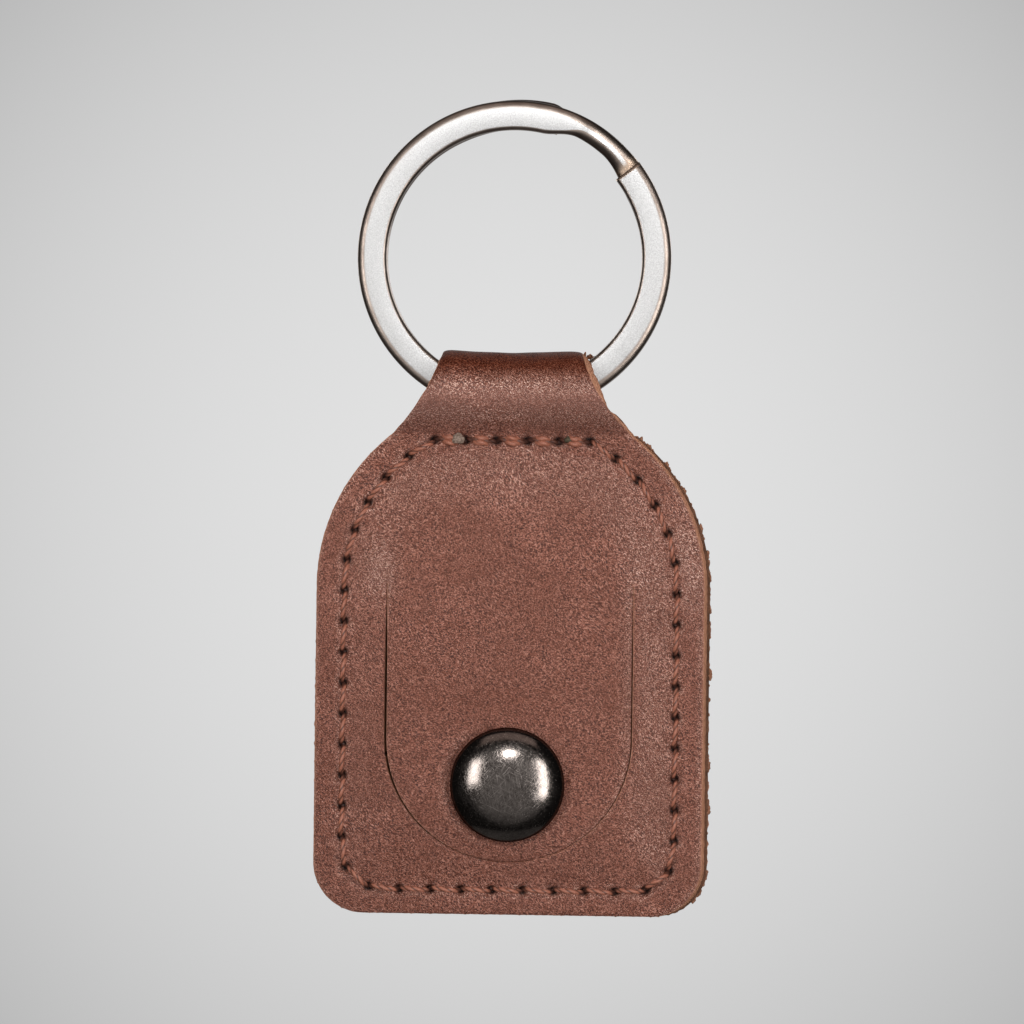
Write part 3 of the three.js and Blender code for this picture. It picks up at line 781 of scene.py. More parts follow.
def leather_front():
    """Front panel with its window, and the loop as far as the top of the back."""
    x, height, signed = cut_front(1)
    rise, hole = front_face(x, height)
    lining = np.maximum(FRONT_RISE * pocket_climb(x, height, FRONT_SLOPE), LAYER_GAP)
    outer = joined(x, -rise, height)
    inner = joined(x, -lining, height)
    loop_outer, loop_inner = loop_rows()
    panel, _ = split_by_line(signed)
    rows, columns = signed.shape
    loop_quads = grid_quads(len(loop_outer) + 1, columns) + (rows - 1) * columns
    outer = np.concatenate([outer, loop_outer]).reshape(-1, 3)
    inner = np.concatenate([inner, loop_inner]).reshape(-1, 3)
    hole = np.concatenate([hole.ravel(), np.zeros(loop_outer[..., 0].size)])
    hinge_row = np.isclose(outer[:, 2], HINGE, atol=2e-3)
    hinge_row &= np.abs(outer[:, 0]) < FLAP_HALF + 0.01
    last_row = np.arange(len(outer)) >= len(outer) - columns
    flush = (hinge_row | last_row).astype(float)
    faces = [np.concatenate([panel[0], loop_quads]), panel[1]]
    faces, arrays = used_only(faces, [outer, inner, hole, flush])
    outer, inner, hole, flush = arrays
    return leather_shell("leather_front", outer, inner, *faces, hole, flush)


def leather_flap():
    """Flap: the tongue inside the line, which goes on into the panel at its hinge."""
    x, height, signed = cut_front(-1)
    rise, hole = front_face(x, height)
    outer = joined(x, -rise, height).reshape(-1, 3)
    lining = FRONT_RISE * pocket_climb(x, height, FRONT_SLOPE)
    inner = joined(x, -lining, height).reshape(-1, 3)
    _, flap = split_by_line(signed)
    hinge_row = np.isclose(outer[:, 2], HINGE, atol=2e-3).astype(float)
    faces, arrays = used_only(flap, [outer, inner, hole.ravel(), hinge_row])
    outer, inner, hole, flush = arrays
    return leather_shell("leather_flap", outer, inner, *faces, hole, flush)


def leather_back():
    """Back layer, from the loop down, a little proud of the front on the right."""
    upper = np.linspace(CORNER, LOOP_FOOT, BACK_ROWS)[1:]
    rows = np.concatenate([corner_rows(BACK_CORNER_ROWS), upper])
    share = np.linspace(1, -1, BACK_COLUMNS)[None, :]
    height = np.repeat(rows[:, None], share.size, 1)
    x = share * half_width(rows)[:, None]
    rise, hole = back_face(x, height)
    # Painted shade inside the eyelet's hole
    hole = np.maximum(hole, smoothstep(0, 0.6, eyelet_high[0] - 0.6 - np.hypot(x, height - SNAP)))
    x = x + back_proud(share, height)
    lining = np.maximum(BACK_RISE * pocket_climb(x, height, BACK_SLOPE), LAYER_GAP)
    outer = joined(x, rise, height).reshape(-1, 3)
    inner = joined(x, lining, height).reshape(-1, 3)
    flush = (outer[:, 2] > LOOP_FOOT - 1e-6).astype(float)
    quads = grid_quads(*height.shape)
    return leather_shell("leather_back", outer, inner, quads, quads[:0, :3], hole.ravel(), flush,
                         BACK_SHADE, BACK_FUZZ)


def clump_places(rng):
    """Middles and sizes of the fibre clumps: groups at a few heights and loose ones along the right
    edge, and some at the fold's corner, behind the ring."""
    groups = np.array(CLUMP_HEIGHTS)
    near = np.repeat(groups, GROUP_CLUMPS) + rng.normal(0, 0.45, GROUP_CLUMPS * len(groups))
    height = np.concatenate([near, rng.uniform(1.5, LOOP_FOOT, LOOSE_CLUMPS)])
    big = np.concatenate([rng.uniform(0.2, 0.42, len(near)), rng.uniform(0.12, 0.26, LOOSE_CLUMPS)])
    delta = 0.05
    slope = (half_width(height + delta) - half_width(height - delta)) / (2 * delta)
    out = unit(joined(1, 0, -slope))
    depth = rng.uniform(0.1, 0.5, len(height))
    reach = half_width(height) + EDGE_SLANT * out[:, 0] * (1 - depth / LEATHER)
    reach += back_proud(1.0, height)
    middle = joined(reach, depth, height) + 0.1 * big[:, None] * out
    share = rng.uniform(0.1, 0.7, FOLD_CLUMPS)
    behind = rng.uniform(1.8, 3.2, FOLD_CLUMPS)
    fall = (1 - (behind / LOOP_DEPTH) ** LOOP_SQUARE) ** (1 / LOOP_SQUARE)
    crown = LOOP_WIDEST + (FOLD - LOOP_WIDEST) * fall
    fold = joined(NECK_HALF + FOLD_SLANT * share, behind, crown + 0.05 - LEATHER * share)
    fold_big = rng.uniform(0.12, 0.26, FOLD_CLUMPS)
    return np.concatenate([middle, fold]), np.concatenate([big, fold_big])


def edge_fibres():
    """Clumps of fibre on the raw edge at the right: small egg shapes, rough by a product of sines."""
    rng = np.random.default_rng(CLUMP_SEED)
    middle, big = clump_places(rng)
    count = len(middle)
    across = np.radians(np.linspace(0, 180, CLUMP_ROWS))[:, None]
    around = full_turn(CLUMP_SIDES)
    ball = joined(np.sin(across) * np.cos(around), np.sin(across) * np.sin(around), np.cos(across))
    wide = rng.uniform(0.5, 0.8, count)
    deep = rng.uniform(0.5, 0.9, count)
    tall = rng.uniform(0.8, 1.5, count)
    shape = ball[None] * (big[:, None] * joined(wide, deep, tall))[:, None, None]
    points = middle[:, None, None] + shape
    rough = fibre_noise(3 * points.reshape(-1, 3)).reshape(points.shape[:3])
    points = points + 0.25 * shape * rough[..., None]
    points[:, [0, -1]] = points[:, [0, -1]].mean(2, keepdims=True)
    first = CLUMP_ROWS * CLUMP_SIDES * np.arange(count)
    quads = grid_quads(CLUMP_ROWS, CLUMP_SIDES, around=True)[None] + first[:, None, None]
    ones = np.ones(count * CLUMP_ROWS * CLUMP_SIDES)
    # The clumps carry painted shade, and no painted sheen or fold shade
    return make_mesh("edge_fibres", points.reshape(-1, 3), [quads.reshape(-1, 4)],
                     raw=ones, flesh=0 * ones, hole=CLUMP_SHADE * ones, burnish=0 * ones, tilt=0 * ones)


# Thread

def thread_rings(line, sideways, radius, sides=18):
    """Rings round a thread's line. The section has one rounded lobe for each ply, and the lobes
    turn once in each lay, so that the plies run round the thread."""
    along = unit(np.gradient(line, axis=0))
    upright = unit(np.cross(along, sideways))
    a = full_turn(sides)
    twist = a - 2 * math.pi * travelled(line)[:, None] / THREAD_LAY
    lobes = 1 - PLY_DEPTH + PLY_DEPTH * np.abs(np.cos(PLIES * twist / 2))
    reach = (radius * lobes)[..., None]
    offset = np.cos(a)[..., None] * sideways[:, None] + np.sin(a)[..., None] * upright[:, None]
    # The second value is painted light: one on the middle of a ply, zero in the groove between plies
    return line[:, None] + reach * offset, np.abs(np.cos(PLIES * twist / 2))


def stitch_line(start, end, side, ride, shift=0.0, rise=0.55, steps=STITCH_STEPS):
    """Lines of thread from hole to hole: straight along the leather, with a rise out of each hole
    by a power of a sine. Side is -1 on the front and +1 on the back. Also gives the sideways
    direction, and how far out of the holes, and so in the light, the thread is."""
    t = (np.arange(steps) / steps)[None, :, None]
    flat = start[:, None] + t * (end - start)[:, None]
    way = unit(end - start)
    across = joined(-way[:, 1], way[:, 0])
    aside = shift * np.sqrt(np.sin(math.pi * t)) + STITCH_SLANT * np.cos(math.pi * t)
    flat = flat + aside * across[:, None]
    out = np.sin(math.pi * t[..., 0]) ** rise
    depth = side * (LEATHER - GROOVE + ride - THREAD_DIVE * (1 - out))
    line = joined(flat[..., 0], depth, flat[..., 1]).reshape(-1, 3)
    sideways = joined(across[:, 0], 0, across[:, 1])
    bright = np.broadcast_to(smoothstep(0.45, 0.8, out), flat.shape[:2]).reshape(-1, 1)
    return line, np.repeat(sideways, steps, 0), bright


def seam_thread(name, side):
    """One thread all round the seam, from hole to hole, back to its start."""
    line, sideways, bright = stitch_line(HOLES, np.roll(HOLES, -1, 0), side, THREAD_RIDE)
    rings, ply = thread_rings(line, sideways, THREAD)
    # Painted shade where the thread dives into its holes
    ply = ply * bright
    # Painted shade on the needle thread under the tack stitches
    if side < 0:
        ply[:STITCH_STEPS * TOP_RUN] *= SHADE_UNDER_TACK
    if side > 0:
        rings, ply = rings[:, ::-1], ply[:, ::-1]
    return tube_mesh(name, rings, endless=True, ply=ply.ravel())


def tack_thread(name, shift, radius):
    """Thread sewn over the top run a second time, where the seam begins and ends."""
    start = HOLES[:TOP_RUN]
    end = HOLES[1:TOP_RUN + 1]
    line, sideways, bright = stitch_line(start, end, -1, 1.3 * THREAD, shift, 2.6)
    rings, ply = thread_rings(line, sideways, radius)
    # Less painted shade between the plies of the tack thread
    return tube_mesh(name, rings, ply=((0.5 + 0.5 * ply) * bright).ravel())


def melted_bead(name, place, size, lump):
    """A thread's melted end: a flattened ball whose radius swells and dips by a few sines."""
    a = full_turn(28)
    b = np.linspace(0.04, math.pi - 0.04, 16)[:, None]
    swell = 1 + lump * (np.sin(3 * a + 2 * b) * np.sin(b) + 0.6 * np.sin(5 * a - 4 * b) * np.sin(b))
    x = place[0] + size * swell * np.sin(b) * np.cos(a)
    height = place[1] + 0.85 * size * swell * np.sin(b) * np.sin(a)
    y = -LEATHER - 0.35 * size - 0.62 * size * np.cos(b)
    return tube_mesh(name, joined(x, y, height))


# Split ring

def wire_section(width, outer, inner, depth):
    """Cross-section of flat wire with rounded edges: a quarter ellipse at each corner, as outward
    and backward distances, with how far each point is from the flat towards the side, 0 to 1."""
    turn = np.radians(np.linspace(0, 90, 9))
    quarters = []
    for sign_out, sign_back, start in ((1, 1, 0), (-1, 1, 90), (-1, -1, 180), (1, -1, 270)):
        a = turn + math.radians(start)
        edge = outer if sign_out > 0 else inner
        out = sign_out * (width / 2 - edge) + edge * np.cos(a)
        back = sign_back * (WIRE_THICK / 2 - depth) + depth * np.sin(a)
        quarters.append(joined(out, back, np.abs(np.cos(a))))
    return np.concatenate(quarters, 1)


def ring_wire():
    """Flat wire wound clockwise from its cut end. It steps from the front turn to the back turn by
    a cubic ease, where it is narrower and rounder, and goes round again to its other end, which is
    sprung out a little and shaved off outside."""
    angle = np.linspace(RING_START, RING_END - 720, RING_SECTIONS)[:, None]
    share = (-angle - 360 + RING_STEP) / (RING_STEP - RING_START)
    through = smoothstep(0, 1, share)
    narrowing = smoothstep(-0.6, 0.0, share) * (1 - smoothstep(0.5, 1.4, share))
    rounding = smoothstep(-0.25, 0.1, share) * (1 - smoothstep(1.0, 1.5, share))
    width = WIRE_WIDTH - (WIRE_WIDTH - STEP_WIDTH) * narrowing
    outer = OUTER_EDGE + ((width - STEP_FLAT) / 2 - OUTER_EDGE) * rounding
    inner = INNER_EDGE + ((width - STEP_FLAT) / 2 - INNER_EDGE) * rounding
    depth = WIRE_EDGE + (0.95 * WIRE_THICK / 2 - WIRE_EDGE) * rounding
    section = wire_section(width, outer, inner, depth)
    layer = (WIRE_THICK + TURN_GAP) / 2
    sprung = SPRUNG_OUT * smoothstep(0, SPRUNG_OVER, angle[-1] + SPRUNG_OVER - angle)
    shaved = SPRUNG_OUT * (1 - smoothstep(-1.5, 4.5, angle - angle[-1]))
    reach = RING_OUTER - width / 2 + sprung + section[..., 0]
    reach -= shaved * smoothstep(0.0, 0.4 * WIRE_WIDTH, section[..., 0])
    y = layer * (2 * through - 1) + section[..., 1]
    a = np.radians(angle)
    rings = joined(reach * np.cos(a), y, RING_CENTRE + reach * np.sin(a))
    # Painted reflection and shade on the wire's rounded edges, stronger on the rounder step, and at the
    # cut ends
    ends = 1 - smoothstep(0, 0.9, np.minimum(RING_START - angle, angle - angle[-1]))
    rim = np.maximum(section[..., 2] * (1 + 3 * rounding), ends)
    past_step = -angle - 360 + RING_STEP
    worn = smoothstep(0, 0.8, past_step - WORN_FROM)
    worn *= smoothstep(0, 2, WORN_FROM + WORN_OVER - past_step)
    cut = np.broadcast_to(worn, rim.shape).copy()
    cut[[0, -1]] = 1
    return tube_mesh("ring_wire", rings, rim=rim.ravel(), cut=cut.ravel())


# Press stud

def turned(name, profile, sides=96):
    """A closed profile of radius and depth, turned about the press stud's line. Points on the line
    are single points, joined to their neighbours by fans."""
    profile = np.asarray(profile, float)
    a = full_turn(sides)[0]
    on_line = profile[:, 0] < 1e-6
    sizes = np.where(on_line, 1, sides)
    first = np.concatenate([[0], np.cumsum(sizes)[:-1]])
    points = np.concatenate([
        np.array([[0, y, SNAP]]) if pole else
        joined(r * np.cos(a), y, SNAP + r * np.sin(a))
        for (r, y), pole in zip(profile, on_line)
    ])
    j = np.arange(sides)
    k = (j + 1) % sides
    quads = []
    fans = []
    for i in range(len(profile)):
        n = (i + 1) % len(profile)
        p, q = first[i], first[n]
        if on_line[i] and on_line[n]:
            continue
        if on_line[i]:
            fans.append(joined(p, q + k, q + j))
        elif on_line[n]:
            fans.append(joined(p + j, p + k, q))
        else:
            quads.append(joined(p + j, p + k, q + k, q + j))
    faces = [np.concatenate(group) for group in (quads, fans) if group]
    return make_mesh(name, points, faces)


def rounded(points, radius=0.12, steps=4):
    """Rounds each corner of a closed profile with a short quadratic curve."""
    points = np.asarray(points, float)
    before = np.roll(points, 1, 0) - points
    after = np.roll(points, -1, 0) - points
    reach_before = np.minimum(radius, 0.45 * np.linalg.norm(before, axis=1))
    reach_after = np.minimum(radius, 0.45 * np.linalg.norm(after, axis=1))
    start = points + unit(before) * reach_before[:, None]
    end = points + unit(after) * reach_after[:, None]
    t = np.linspace(0, 1, steps)[None, :, None]
    curve = (1 - t) ** 2 * start[:, None] + 2 * t * (1 - t) * points[:, None] + t ** 2 * end[:, None]
    return curve.reshape(-1, 2)


def cap_dome():
    """Domed cap: a quarter ellipse from the crown to the widest line, a rolled rim, and the inside
    of the sheet."""
    seat = cap_high[1]
    equator = seat - CAP_EQUATOR
    crown = equator - cap_low[1]
    a = np.linspace(0, math.pi / 2, 40)
    outer = joined(CAP_RADIUS * np.sin(a), equator - crown * np.cos(a))
    b = np.linspace(0, math.pi / 2, 10)[1:]
    rim = joined(CAP_RADIUS - CAP_ROLL * (1 - np.cos(b)), equator + CAP_EQUATOR * np.sin(b))
    mouth = CAP_RADIUS - CAP_LIP
    wall = CAP_RADIUS - CAP_SHEET
    under = np.array([[mouth, seat], [mouth, seat - CAP_SHEET], [wall, seat - CAP_SHEET]])
    lining = joined(wall * np.sin(a[::-4]), equator - (crown - CAP_SHEET) * np.cos(a[::-4]))
    lining[-1, 0] = 0
    return turned("cap_dome", np.concatenate([outer, rim, under, lining]))


def cap_rivet():
    """Hollow rivet inside the cap, spread behind the socket."""
    wide = barrel_high[0]
    bore, tube, clinch = 1.4, 1.8, 2.4
    front, back = barrel_low[1], barrel_high[1]
    return turned("cap_rivet", rounded([
        [bore, front], [wide, front], [wide, front + 0.3], [tube, front + 0.3],
        [tube, back - 0.3], [clinch, back - 0.3], [clinch, back], [bore, back],
    ]))


def socket_cup():
    """Socket behind the flap: a flange, a hub with a rounded shoulder, and a lip round its mouth."""
    bore, hub, mouth, sheet, lip = 2.0, 4.1, 3.0, 0.4, 0.2
    wide, front, rim = socket_high[0], socket_low[1], socket_high[1]
    return turned("socket_cup", rounded([
        [bore, front], [wide, front], [wide, front + sheet], [hub + 0.25, front + sheet + 0.1],
        [hub, front + 2 * sheet], [hub, rim - lip], [hub - lip, rim], [mouth, rim],
        [mouth, rim - lip], [hub - sheet, rim - lip], [hub - sheet, front + sheet],
        [bore, front + sheet],
    ]))


def socket_wire():
    """Split spring wire inside the socket: a round section carried most of the way round."""
    wire = (spring_high[1] - spring_low[1]) / 2
    radius = spring_high[2] + HANG - SNAP - wire
    a = np.radians(np.linspace(25, 335, 90))[:, None]
    b = full_turn(12)
    reach = radius + wire * np.cos(b)
    middle = (spring_high[1] + spring_low[1]) / 2
    rings = joined(reach * np.cos(a), middle + wire * np.sin(b), SNAP + reach * np.sin(a))
    return tube_mesh("socket_wire", rings[:, ::-1])


def stud_post():
    """Stud inside the back: a flange, a neck, and a head with rounded edges."""
    bore, neck, head, flange = 1.7, 2.2, 2.75, 0.4
    wide, top, seat = stud_high[0], stud_low[1], stud_high[1]
    return turned("stud_post", rounded([
        [bore, seat], [bore, top], [head - 0.2, top], [head, top + 0.1], [head, top + 0.2],
        [neck, top + 0.4], [neck, seat - flange - 0.1], [neck + 0.3, seat - flange],
        [wide, seat - flange], [wide, seat],
    ])[::-1])


def back_eyelet():
    """Eyelet in the back: a low domed ring with a rolled hole, and a tube spread over the stud."""
    bore, tube, clinch, proud = 1.15, 1.5, 2.1, 0.12
    wide, front, back = eyelet_high[0], eyelet_low[1], eyelet_high[1]
    r = np.linspace(wide, bore + 0.35, 14)
    crown = back - 0.25 + (0.25 + proud) * np.sin(np.linspace(0, math.pi, 14)) ** 0.6
    dome = joined(r, crown)
    inside = [[bore, back - 0.5], [bore, front], [clinch, front], [clinch, front + 0.3],
              [tube, front + 0.3], [tube, back - 0.45], [wide - 0.05, back - 0.45]]
    return turned("back_eyelet", np.concatenate([dome, inside])[::-1])


# Materials

def set_inputs(tree, made, inputs):
    """Gives a node's inputs their values, each a socket to link or a plain value."""
    for key, value in inputs.items():
        if isinstance(value, bpy.types.NodeSocket):
            tree.links.new(value, made.inputs[key])
        else:
            made.inputs[key].default_value = value


def shader_node(tree, kind, inputs=None, **settings):
    """Adds a shader node, sets its options and gives its inputs their values."""
    made = tree.nodes.new("ShaderNode" + kind)
    for key, value in settings.items():
        setattr(made, key, value)
    set_inputs(tree, made, inputs or {})
    return made


def new_material(name):
    """An empty node material, with its tree and its surface shader."""
    material = bpy.data.materials.new(name)
    material.use_nodes = True
    tree = material.node_tree
    return material, tree, tree.nodes["Principled BSDF"]


def noise(tree, vector, scale, detail=2.0, rough=0.5):
    """A noise texture's value."""
    inputs = {"Vector": vector, "Scale": scale, "Detail": detail, "Roughness": rough}
    return shader_node(tree, "TexNoise", inputs).outputs["Fac"]


def remap(tree, value, low, high, to_low=0.0, to_high=1.0):
    """A value stretched from one range to another, held at its ends."""
    inputs = {"Value": value, "From Min": low, "From Max": high, "To Min": to_low, "To Max": to_high}
    return shader_node(tree, "MapRange", inputs).outputs["Result"]


def blend_colour(tree, factor, first, second, kind="MIX"):
    """Two colours, each a socket or a plain colour, mixed by a factor."""
    inputs = {0: factor, 6: first, 7: second}
    return shader_node(tree, "Mix", inputs, data_type="RGBA", blend_type=kind).outputs[2]


def sums(tree, kind, first, second):
    """A sum, product or other result of two values, each a socket or a number."""
    return shader_node(tree, "Math", {0: first, 1: second}, operation=kind).outputs[0]


def mottled(tree, value, dark, light, low=0.3, high=0.7):
    """Two colours mixed by a noise value, over the middle of its range."""
    return blend_colour(tree, remap(tree, value, low, high), dark, light)


def add_bump(tree, surface, height, strength, distance):
    """Bumps a surface by a height value, over a distance in metres."""
    inputs = {"Height": height, "Strength": strength, "Distance": distance}
    bump = shader_node(tree, "Bump", inputs)
    tree.links.new(bump.outputs["Normal"], surface.inputs["Normal"])


def ridges(tree, vector, scale):
    """Thin winding ridges: one where the noise passes its middle value, falling to zero beside it."""
    from_middle = sums(tree, "SUBTRACT", noise(tree, vector, scale, 1.0, 0.5), 0.5)
    away = sums(tree, "ABSOLUTE", from_middle, 0.0)
    return remap(tree, away, 0.0, 0.12, 1.0, 0.0)


def attribute(tree, name):
    """A named value of the mesh's points."""
    return shader_node(tree, "Attribute", attribute_name=name).outputs["Fac"]


def object_place(tree):
    """Object coordinates."""
    return shader_node(tree, "TexCoord").outputs["Object"]


def slanted_place(tree, place, degrees, stretch):
    """Coordinates turned about the depth axis, and stretched along their new X axis."""
    turn = (0.0, math.radians(degrees), 0.0)
    inputs = {"Vector": place, "Rotation": turn, "Scale": (stretch, 1.0, 1.0)}
    return shader_node(tree, "Mapping", inputs, vector_type="TEXTURE").outputs["Vector"]


def brown_leather():
    """Pebble-grained leather: small cells and short slanting creases in colour, gloss and bump, with
    tan fibres on cut edges and suede on the flesh side, and painted glints, sheen and shade."""
    material, tree, surface = new_material("brown_leather")
    place = object_place(tree)
    warp = shader_node(tree, "TexNoise", {"Vector": place, "Scale": 90.0, "Detail": 1.0})
    shift = shader_node(tree, "VectorMath", {0: warp.outputs["Color"], "Scale": 0.005},
                        operation="SCALE").outputs[0]
    bent = shader_node(tree, "VectorMath", {0: place, 1: shift}, operation="ADD").outputs[0]
    slant = slanted_place(tree, bent, 35.0, 2.5)
    coarse = ridges(tree, slant, 6900.0)
    close = ridges(tree, slant, 9800.0)
    fine = noise(tree, bent, 12000.0, 2.0, 0.6)
    broad = noise(tree, place, 140.0, 3.0, 0.55)
    height = sums(tree, "MULTIPLY", coarse, 0.42)
    height = sums(tree, "ADD", height, sums(tree, "MULTIPLY", close, 0.38))
    height = sums(tree, "ADD", height, sums(tree, "MULTIPLY", fine, 0.38))
    tone = remap(tree, height, 0.29, 0.88)
    grain = blend_colour(tree, tone, (0.054, 0.0136, 0.0077, 1), (0.448, 0.152, 0.0935, 1))
    # Painted glints: pale grain tops, strongest on slopes, beside the slits' tops and on the right
    # border, weaker on the loop's swell; then a painted sheen, a pale wash, on the same places
    tilt = attribute(tree, "tilt")
    painted_glint = remap(tree, tilt, 0.0, 0.45, 0.3, 1.6)
    painted_glint = sums(tree, "MULTIPLY", painted_glint, remap(tree, tilt, 0.5, 0.85, 1.0, 0.4))
    painted_glint_tips = sums(tree, "MULTIPLY", remap(tree, height, 0.69, 0.86), painted_glint)
    grain = blend_colour(tree, painted_glint_tips, grain, (0.95, 0.67, 0.555, 1))
    grain = blend_colour(tree, sums(tree, "MULTIPLY", tilt, 0.33), grain, (0.53, 0.26, 0.205, 1))
    where = shader_node(tree, "SeparateXYZ", {"Vector": place}).outputs
    # Random mottling, and painted shade darker towards the lower left
    painted_lower_left_shade = sums(tree, "MULTIPLY", remap(tree, where["X"], -0.018, 0.012, 0.8, 0.3),
                      remap(tree, where["Z"], -0.078, -0.05, 1.0, 0.0))
    patch = sums(tree, "ADD", remap(tree, broad, 0.3, 0.7, 0.1, 0.4), painted_lower_left_shade)
    grain = blend_colour(tree, patch, grain, (0.8, 0.76, 0.74, 1), "MULTIPLY")
    # Painted shade on the top of the fold, where it faces up; it also dulls the gloss there
    worn = attribute(tree, "burnish")
    grain = blend_colour(tree, worn, grain, (0.5, 0.36, 0.29, 1), "MULTIPLY")
    drawn = shader_node(tree, "Mapping", {"Vector": place, "Scale": (1.0, 1.0, 0.35)})
    fibre = noise(tree, drawn.outputs["Vector"], 5200.0, 4.0, 0.7)
    tan = mottled(tree, fibre, (0.42, 0.175, 0.1, 1), (0.82, 0.42, 0.265, 1))
    suede = mottled(tree, fine, (0.12, 0.055, 0.034, 1), (0.23, 0.12, 0.075, 1))
    raw = attribute(tree, "raw")
    flesh = attribute(tree, "flesh")
    hole = attribute(tree, "hole")
    colour = blend_colour(tree, flesh, grain, suede)
    colour = blend_colour(tree, raw, colour, tan)
    # Painted shade, near black, in stitch holes, the groove under the thread, the slits and the eyelet's
    # hole, and lighter on the back's cut edge and the fibre clumps
    dark = remap(tree, hole, 0.15, 0.7)
    colour = blend_colour(tree, dark, colour, (0.008, 0.003, 0.002, 1))
    soft = sums(tree, "MAXIMUM", raw, flesh)
    gloss = remap(tree, tone, 0.0, 1.0, 0.4, 0.22)
    rough = sums(tree, "MAXIMUM", gloss, sums(tree, "MULTIPLY", soft, 0.85))
    mirror = remap(tree, sums(tree, "MAXIMUM", soft, worn), 0.0, 1.0, 0.35, 0.02)
    set_inputs(tree, surface, {"Base Color": colour, "Roughness": rough, "Specular IOR Level": mirror})
    pile = sums(tree, "MULTIPLY", sums(tree, "MULTIPLY", fibre, soft), 5.0)
    add_bump(tree, surface, sums(tree, "ADD", height, pile), 1.0, 0.00007)
    return material


def satin_nickel():
    """Satin nickel: bright flats with fine mottling, and a painted brown reflection and painted shade on
    the rounded edges.
    """
    material, tree, surface = new_material("satin_nickel")
    place = object_place(tree)
    mottle = noise(tree, place, 7500.0, 3.0, 0.6)
    cloud = noise(tree, place, 420.0, 3.0, 0.5)
    flat = mottled(tree, mottle, (0.32, 0.315, 0.312, 1), (0.5, 0.495, 0.49, 1))
    # Painted reflection of the leather and painted shade on the rounded edges: brown, and near black on
    # the rounder step
    brown = mottled(tree, cloud, (0.16, 0.127, 0.107, 1), (0.27, 0.223, 0.192, 1))
    rim = attribute(tree, "rim")
    colour = blend_colour(tree, remap(tree, rim, 0.0, 0.24), flat, brown)
    colour = blend_colour(tree, remap(tree, rim, 0.6, 1.8), colour, (0.12, 0.095, 0.08, 1))
    worn = mottled(tree, cloud, (0.26, 0.185, 0.135, 1), (0.5, 0.38, 0.29, 1), 0.4, 0.6)
    colour = blend_colour(tree, attribute(tree, "cut"), colour, worn)
    rough = remap(tree, mottle, 0.3, 0.7, 0.3, 0.42)
    set_inputs(tree, surface, {"Base Color": colour, "Metallic": 1.0, "Roughness": rough})
    add_bump(tree, surface, mottle, 0.35, 0.00002)
    return material


def black_nickel():
    """Polished black nickel with fine scratches in three directions and faint brown clouds."""
    material, tree, surface = new_material("black_nickel")
    place = object_place(tree)
    scratch = None
    for turn in (25.0, -50.0, 78.0):
        drawn = slanted_place(tree, place, turn, 16.0)
        line = remap(tree, noise(tree, drawn, 11000.0, 2.0, 0.7), 0.5, 0.8)
        scratch = line if scratch is None else sums(tree, "MAXIMUM", scratch, line)
    cloud = noise(tree, place, 500.0, 3.0, 0.6)
    base = mottled(tree, cloud, (0.045, 0.037, 0.033, 1), (0.1, 0.085, 0.077, 1))
    colour = blend_colour(tree, sums(tree, "MULTIPLY", scratch, 0.7), base, (0.3, 0.262, 0.238, 1))
    rough = remap(tree, scratch, 0.0, 1.0, 0.1, 0.34)
    set_inputs(tree, surface, {"Base Color": colour, "Metallic": 1.0, "Roughness": rough,
                               "Specular Tint": (0.16, 0.14, 0.13, 1)})
    add_bump(tree, surface, scratch, 0.2, 0.00001)
    return material


def spring_steel():
    """Bright drawn wire with faint streaks."""
    material, tree, surface = new_material("spring_steel")
    streak = noise(tree, object_place(tree), 3000.0, 2.0, 0.5)
    colour = mottled(tree, streak, (0.3, 0.3, 0.31, 1), (0.5, 0.5, 0.51, 1))
    set_inputs(tree, surface, {"Base Color": colour, "Metallic": 1.0, "Roughness": 0.3})
    return material


def copper_thread():
    """Coppery thread with fine fibres: painted light along the middle of each ply, and painted shade
    between the plies, in the holes and under the tack stitches.
    """
    material, tree, surface = new_material("copper_thread")
    ply = attribute(tree, "ply")
    fibre = noise(tree, object_place(tree), 9000.0, 3.0, 0.7)
    light = mottled(tree, fibre, (0.2, 0.066, 0.04, 1), (0.45, 0.17, 0.103, 1))
    colour = blend_colour(tree, remap(tree, ply, 0.0, 0.7), (0.04, 0.012, 0.007, 1), light)
    set_inputs(tree, surface, {"Base Color": colour, "Roughness": 0.5})
    add_bump(tree, surface, fibre, 0.6, 0.00003)
    return material


def melted_thread(name, dark, light):
    """Melted end of a thread: a mottled, dull crust."""
    material, tree, surface = new_material(name)
    mottle = noise(tree, object_place(tree), 4200.0, 4.0, 0.7)
    colour = mottled(tree, mottle, dark, light, 0.35, 0.65)
    set_inputs(tree, surface, {"Base Color": colour, "Roughness": 0.6, "Specular IOR Level": 0.2})
    add_bump(tree, surface, mottle, 0.8, 0.00008)
    return material


def pale_floor():
    """Plain pale floor."""
    material, tree, surface = new_material("pale_floor")
    cloud = noise(tree, object_place(tree), 3.0, 2.0, 0.5)
    colour = blend_colour(tree, cloud, (0.62, 0.62, 0.62, 1), (0.66, 0.66, 0.66, 1))
    set_inputs(tree, surface, {"Base Color": colour, "Roughness": 0.9})
    return material


# Assembly

def dress(piece, material, slot, body, *nodes):
    """Gives a piece its material, lets it ride on a body, and hides what it stands for. The slot is not
    used.
    """
    piece.data.materials.append(material)
    if nodes:
        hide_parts(*nodes)
    if body:
        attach(piece, body)
    return piece


leather = brown_leather()
nickel = satin_nickel()
black = black_nickel()
copper = copper_thread()

dress(leather_front(), leather, "brown_leather", "leather", "leather_body")
dress(leather_back(), leather, "brown_leather", "leather", "leather_body")
dress(edge_fibres(), leather, "brown_leather", "leather")
flap = dress(leather_flap(), leather, "brown_leather", None, "coin_flap")
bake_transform(flap)

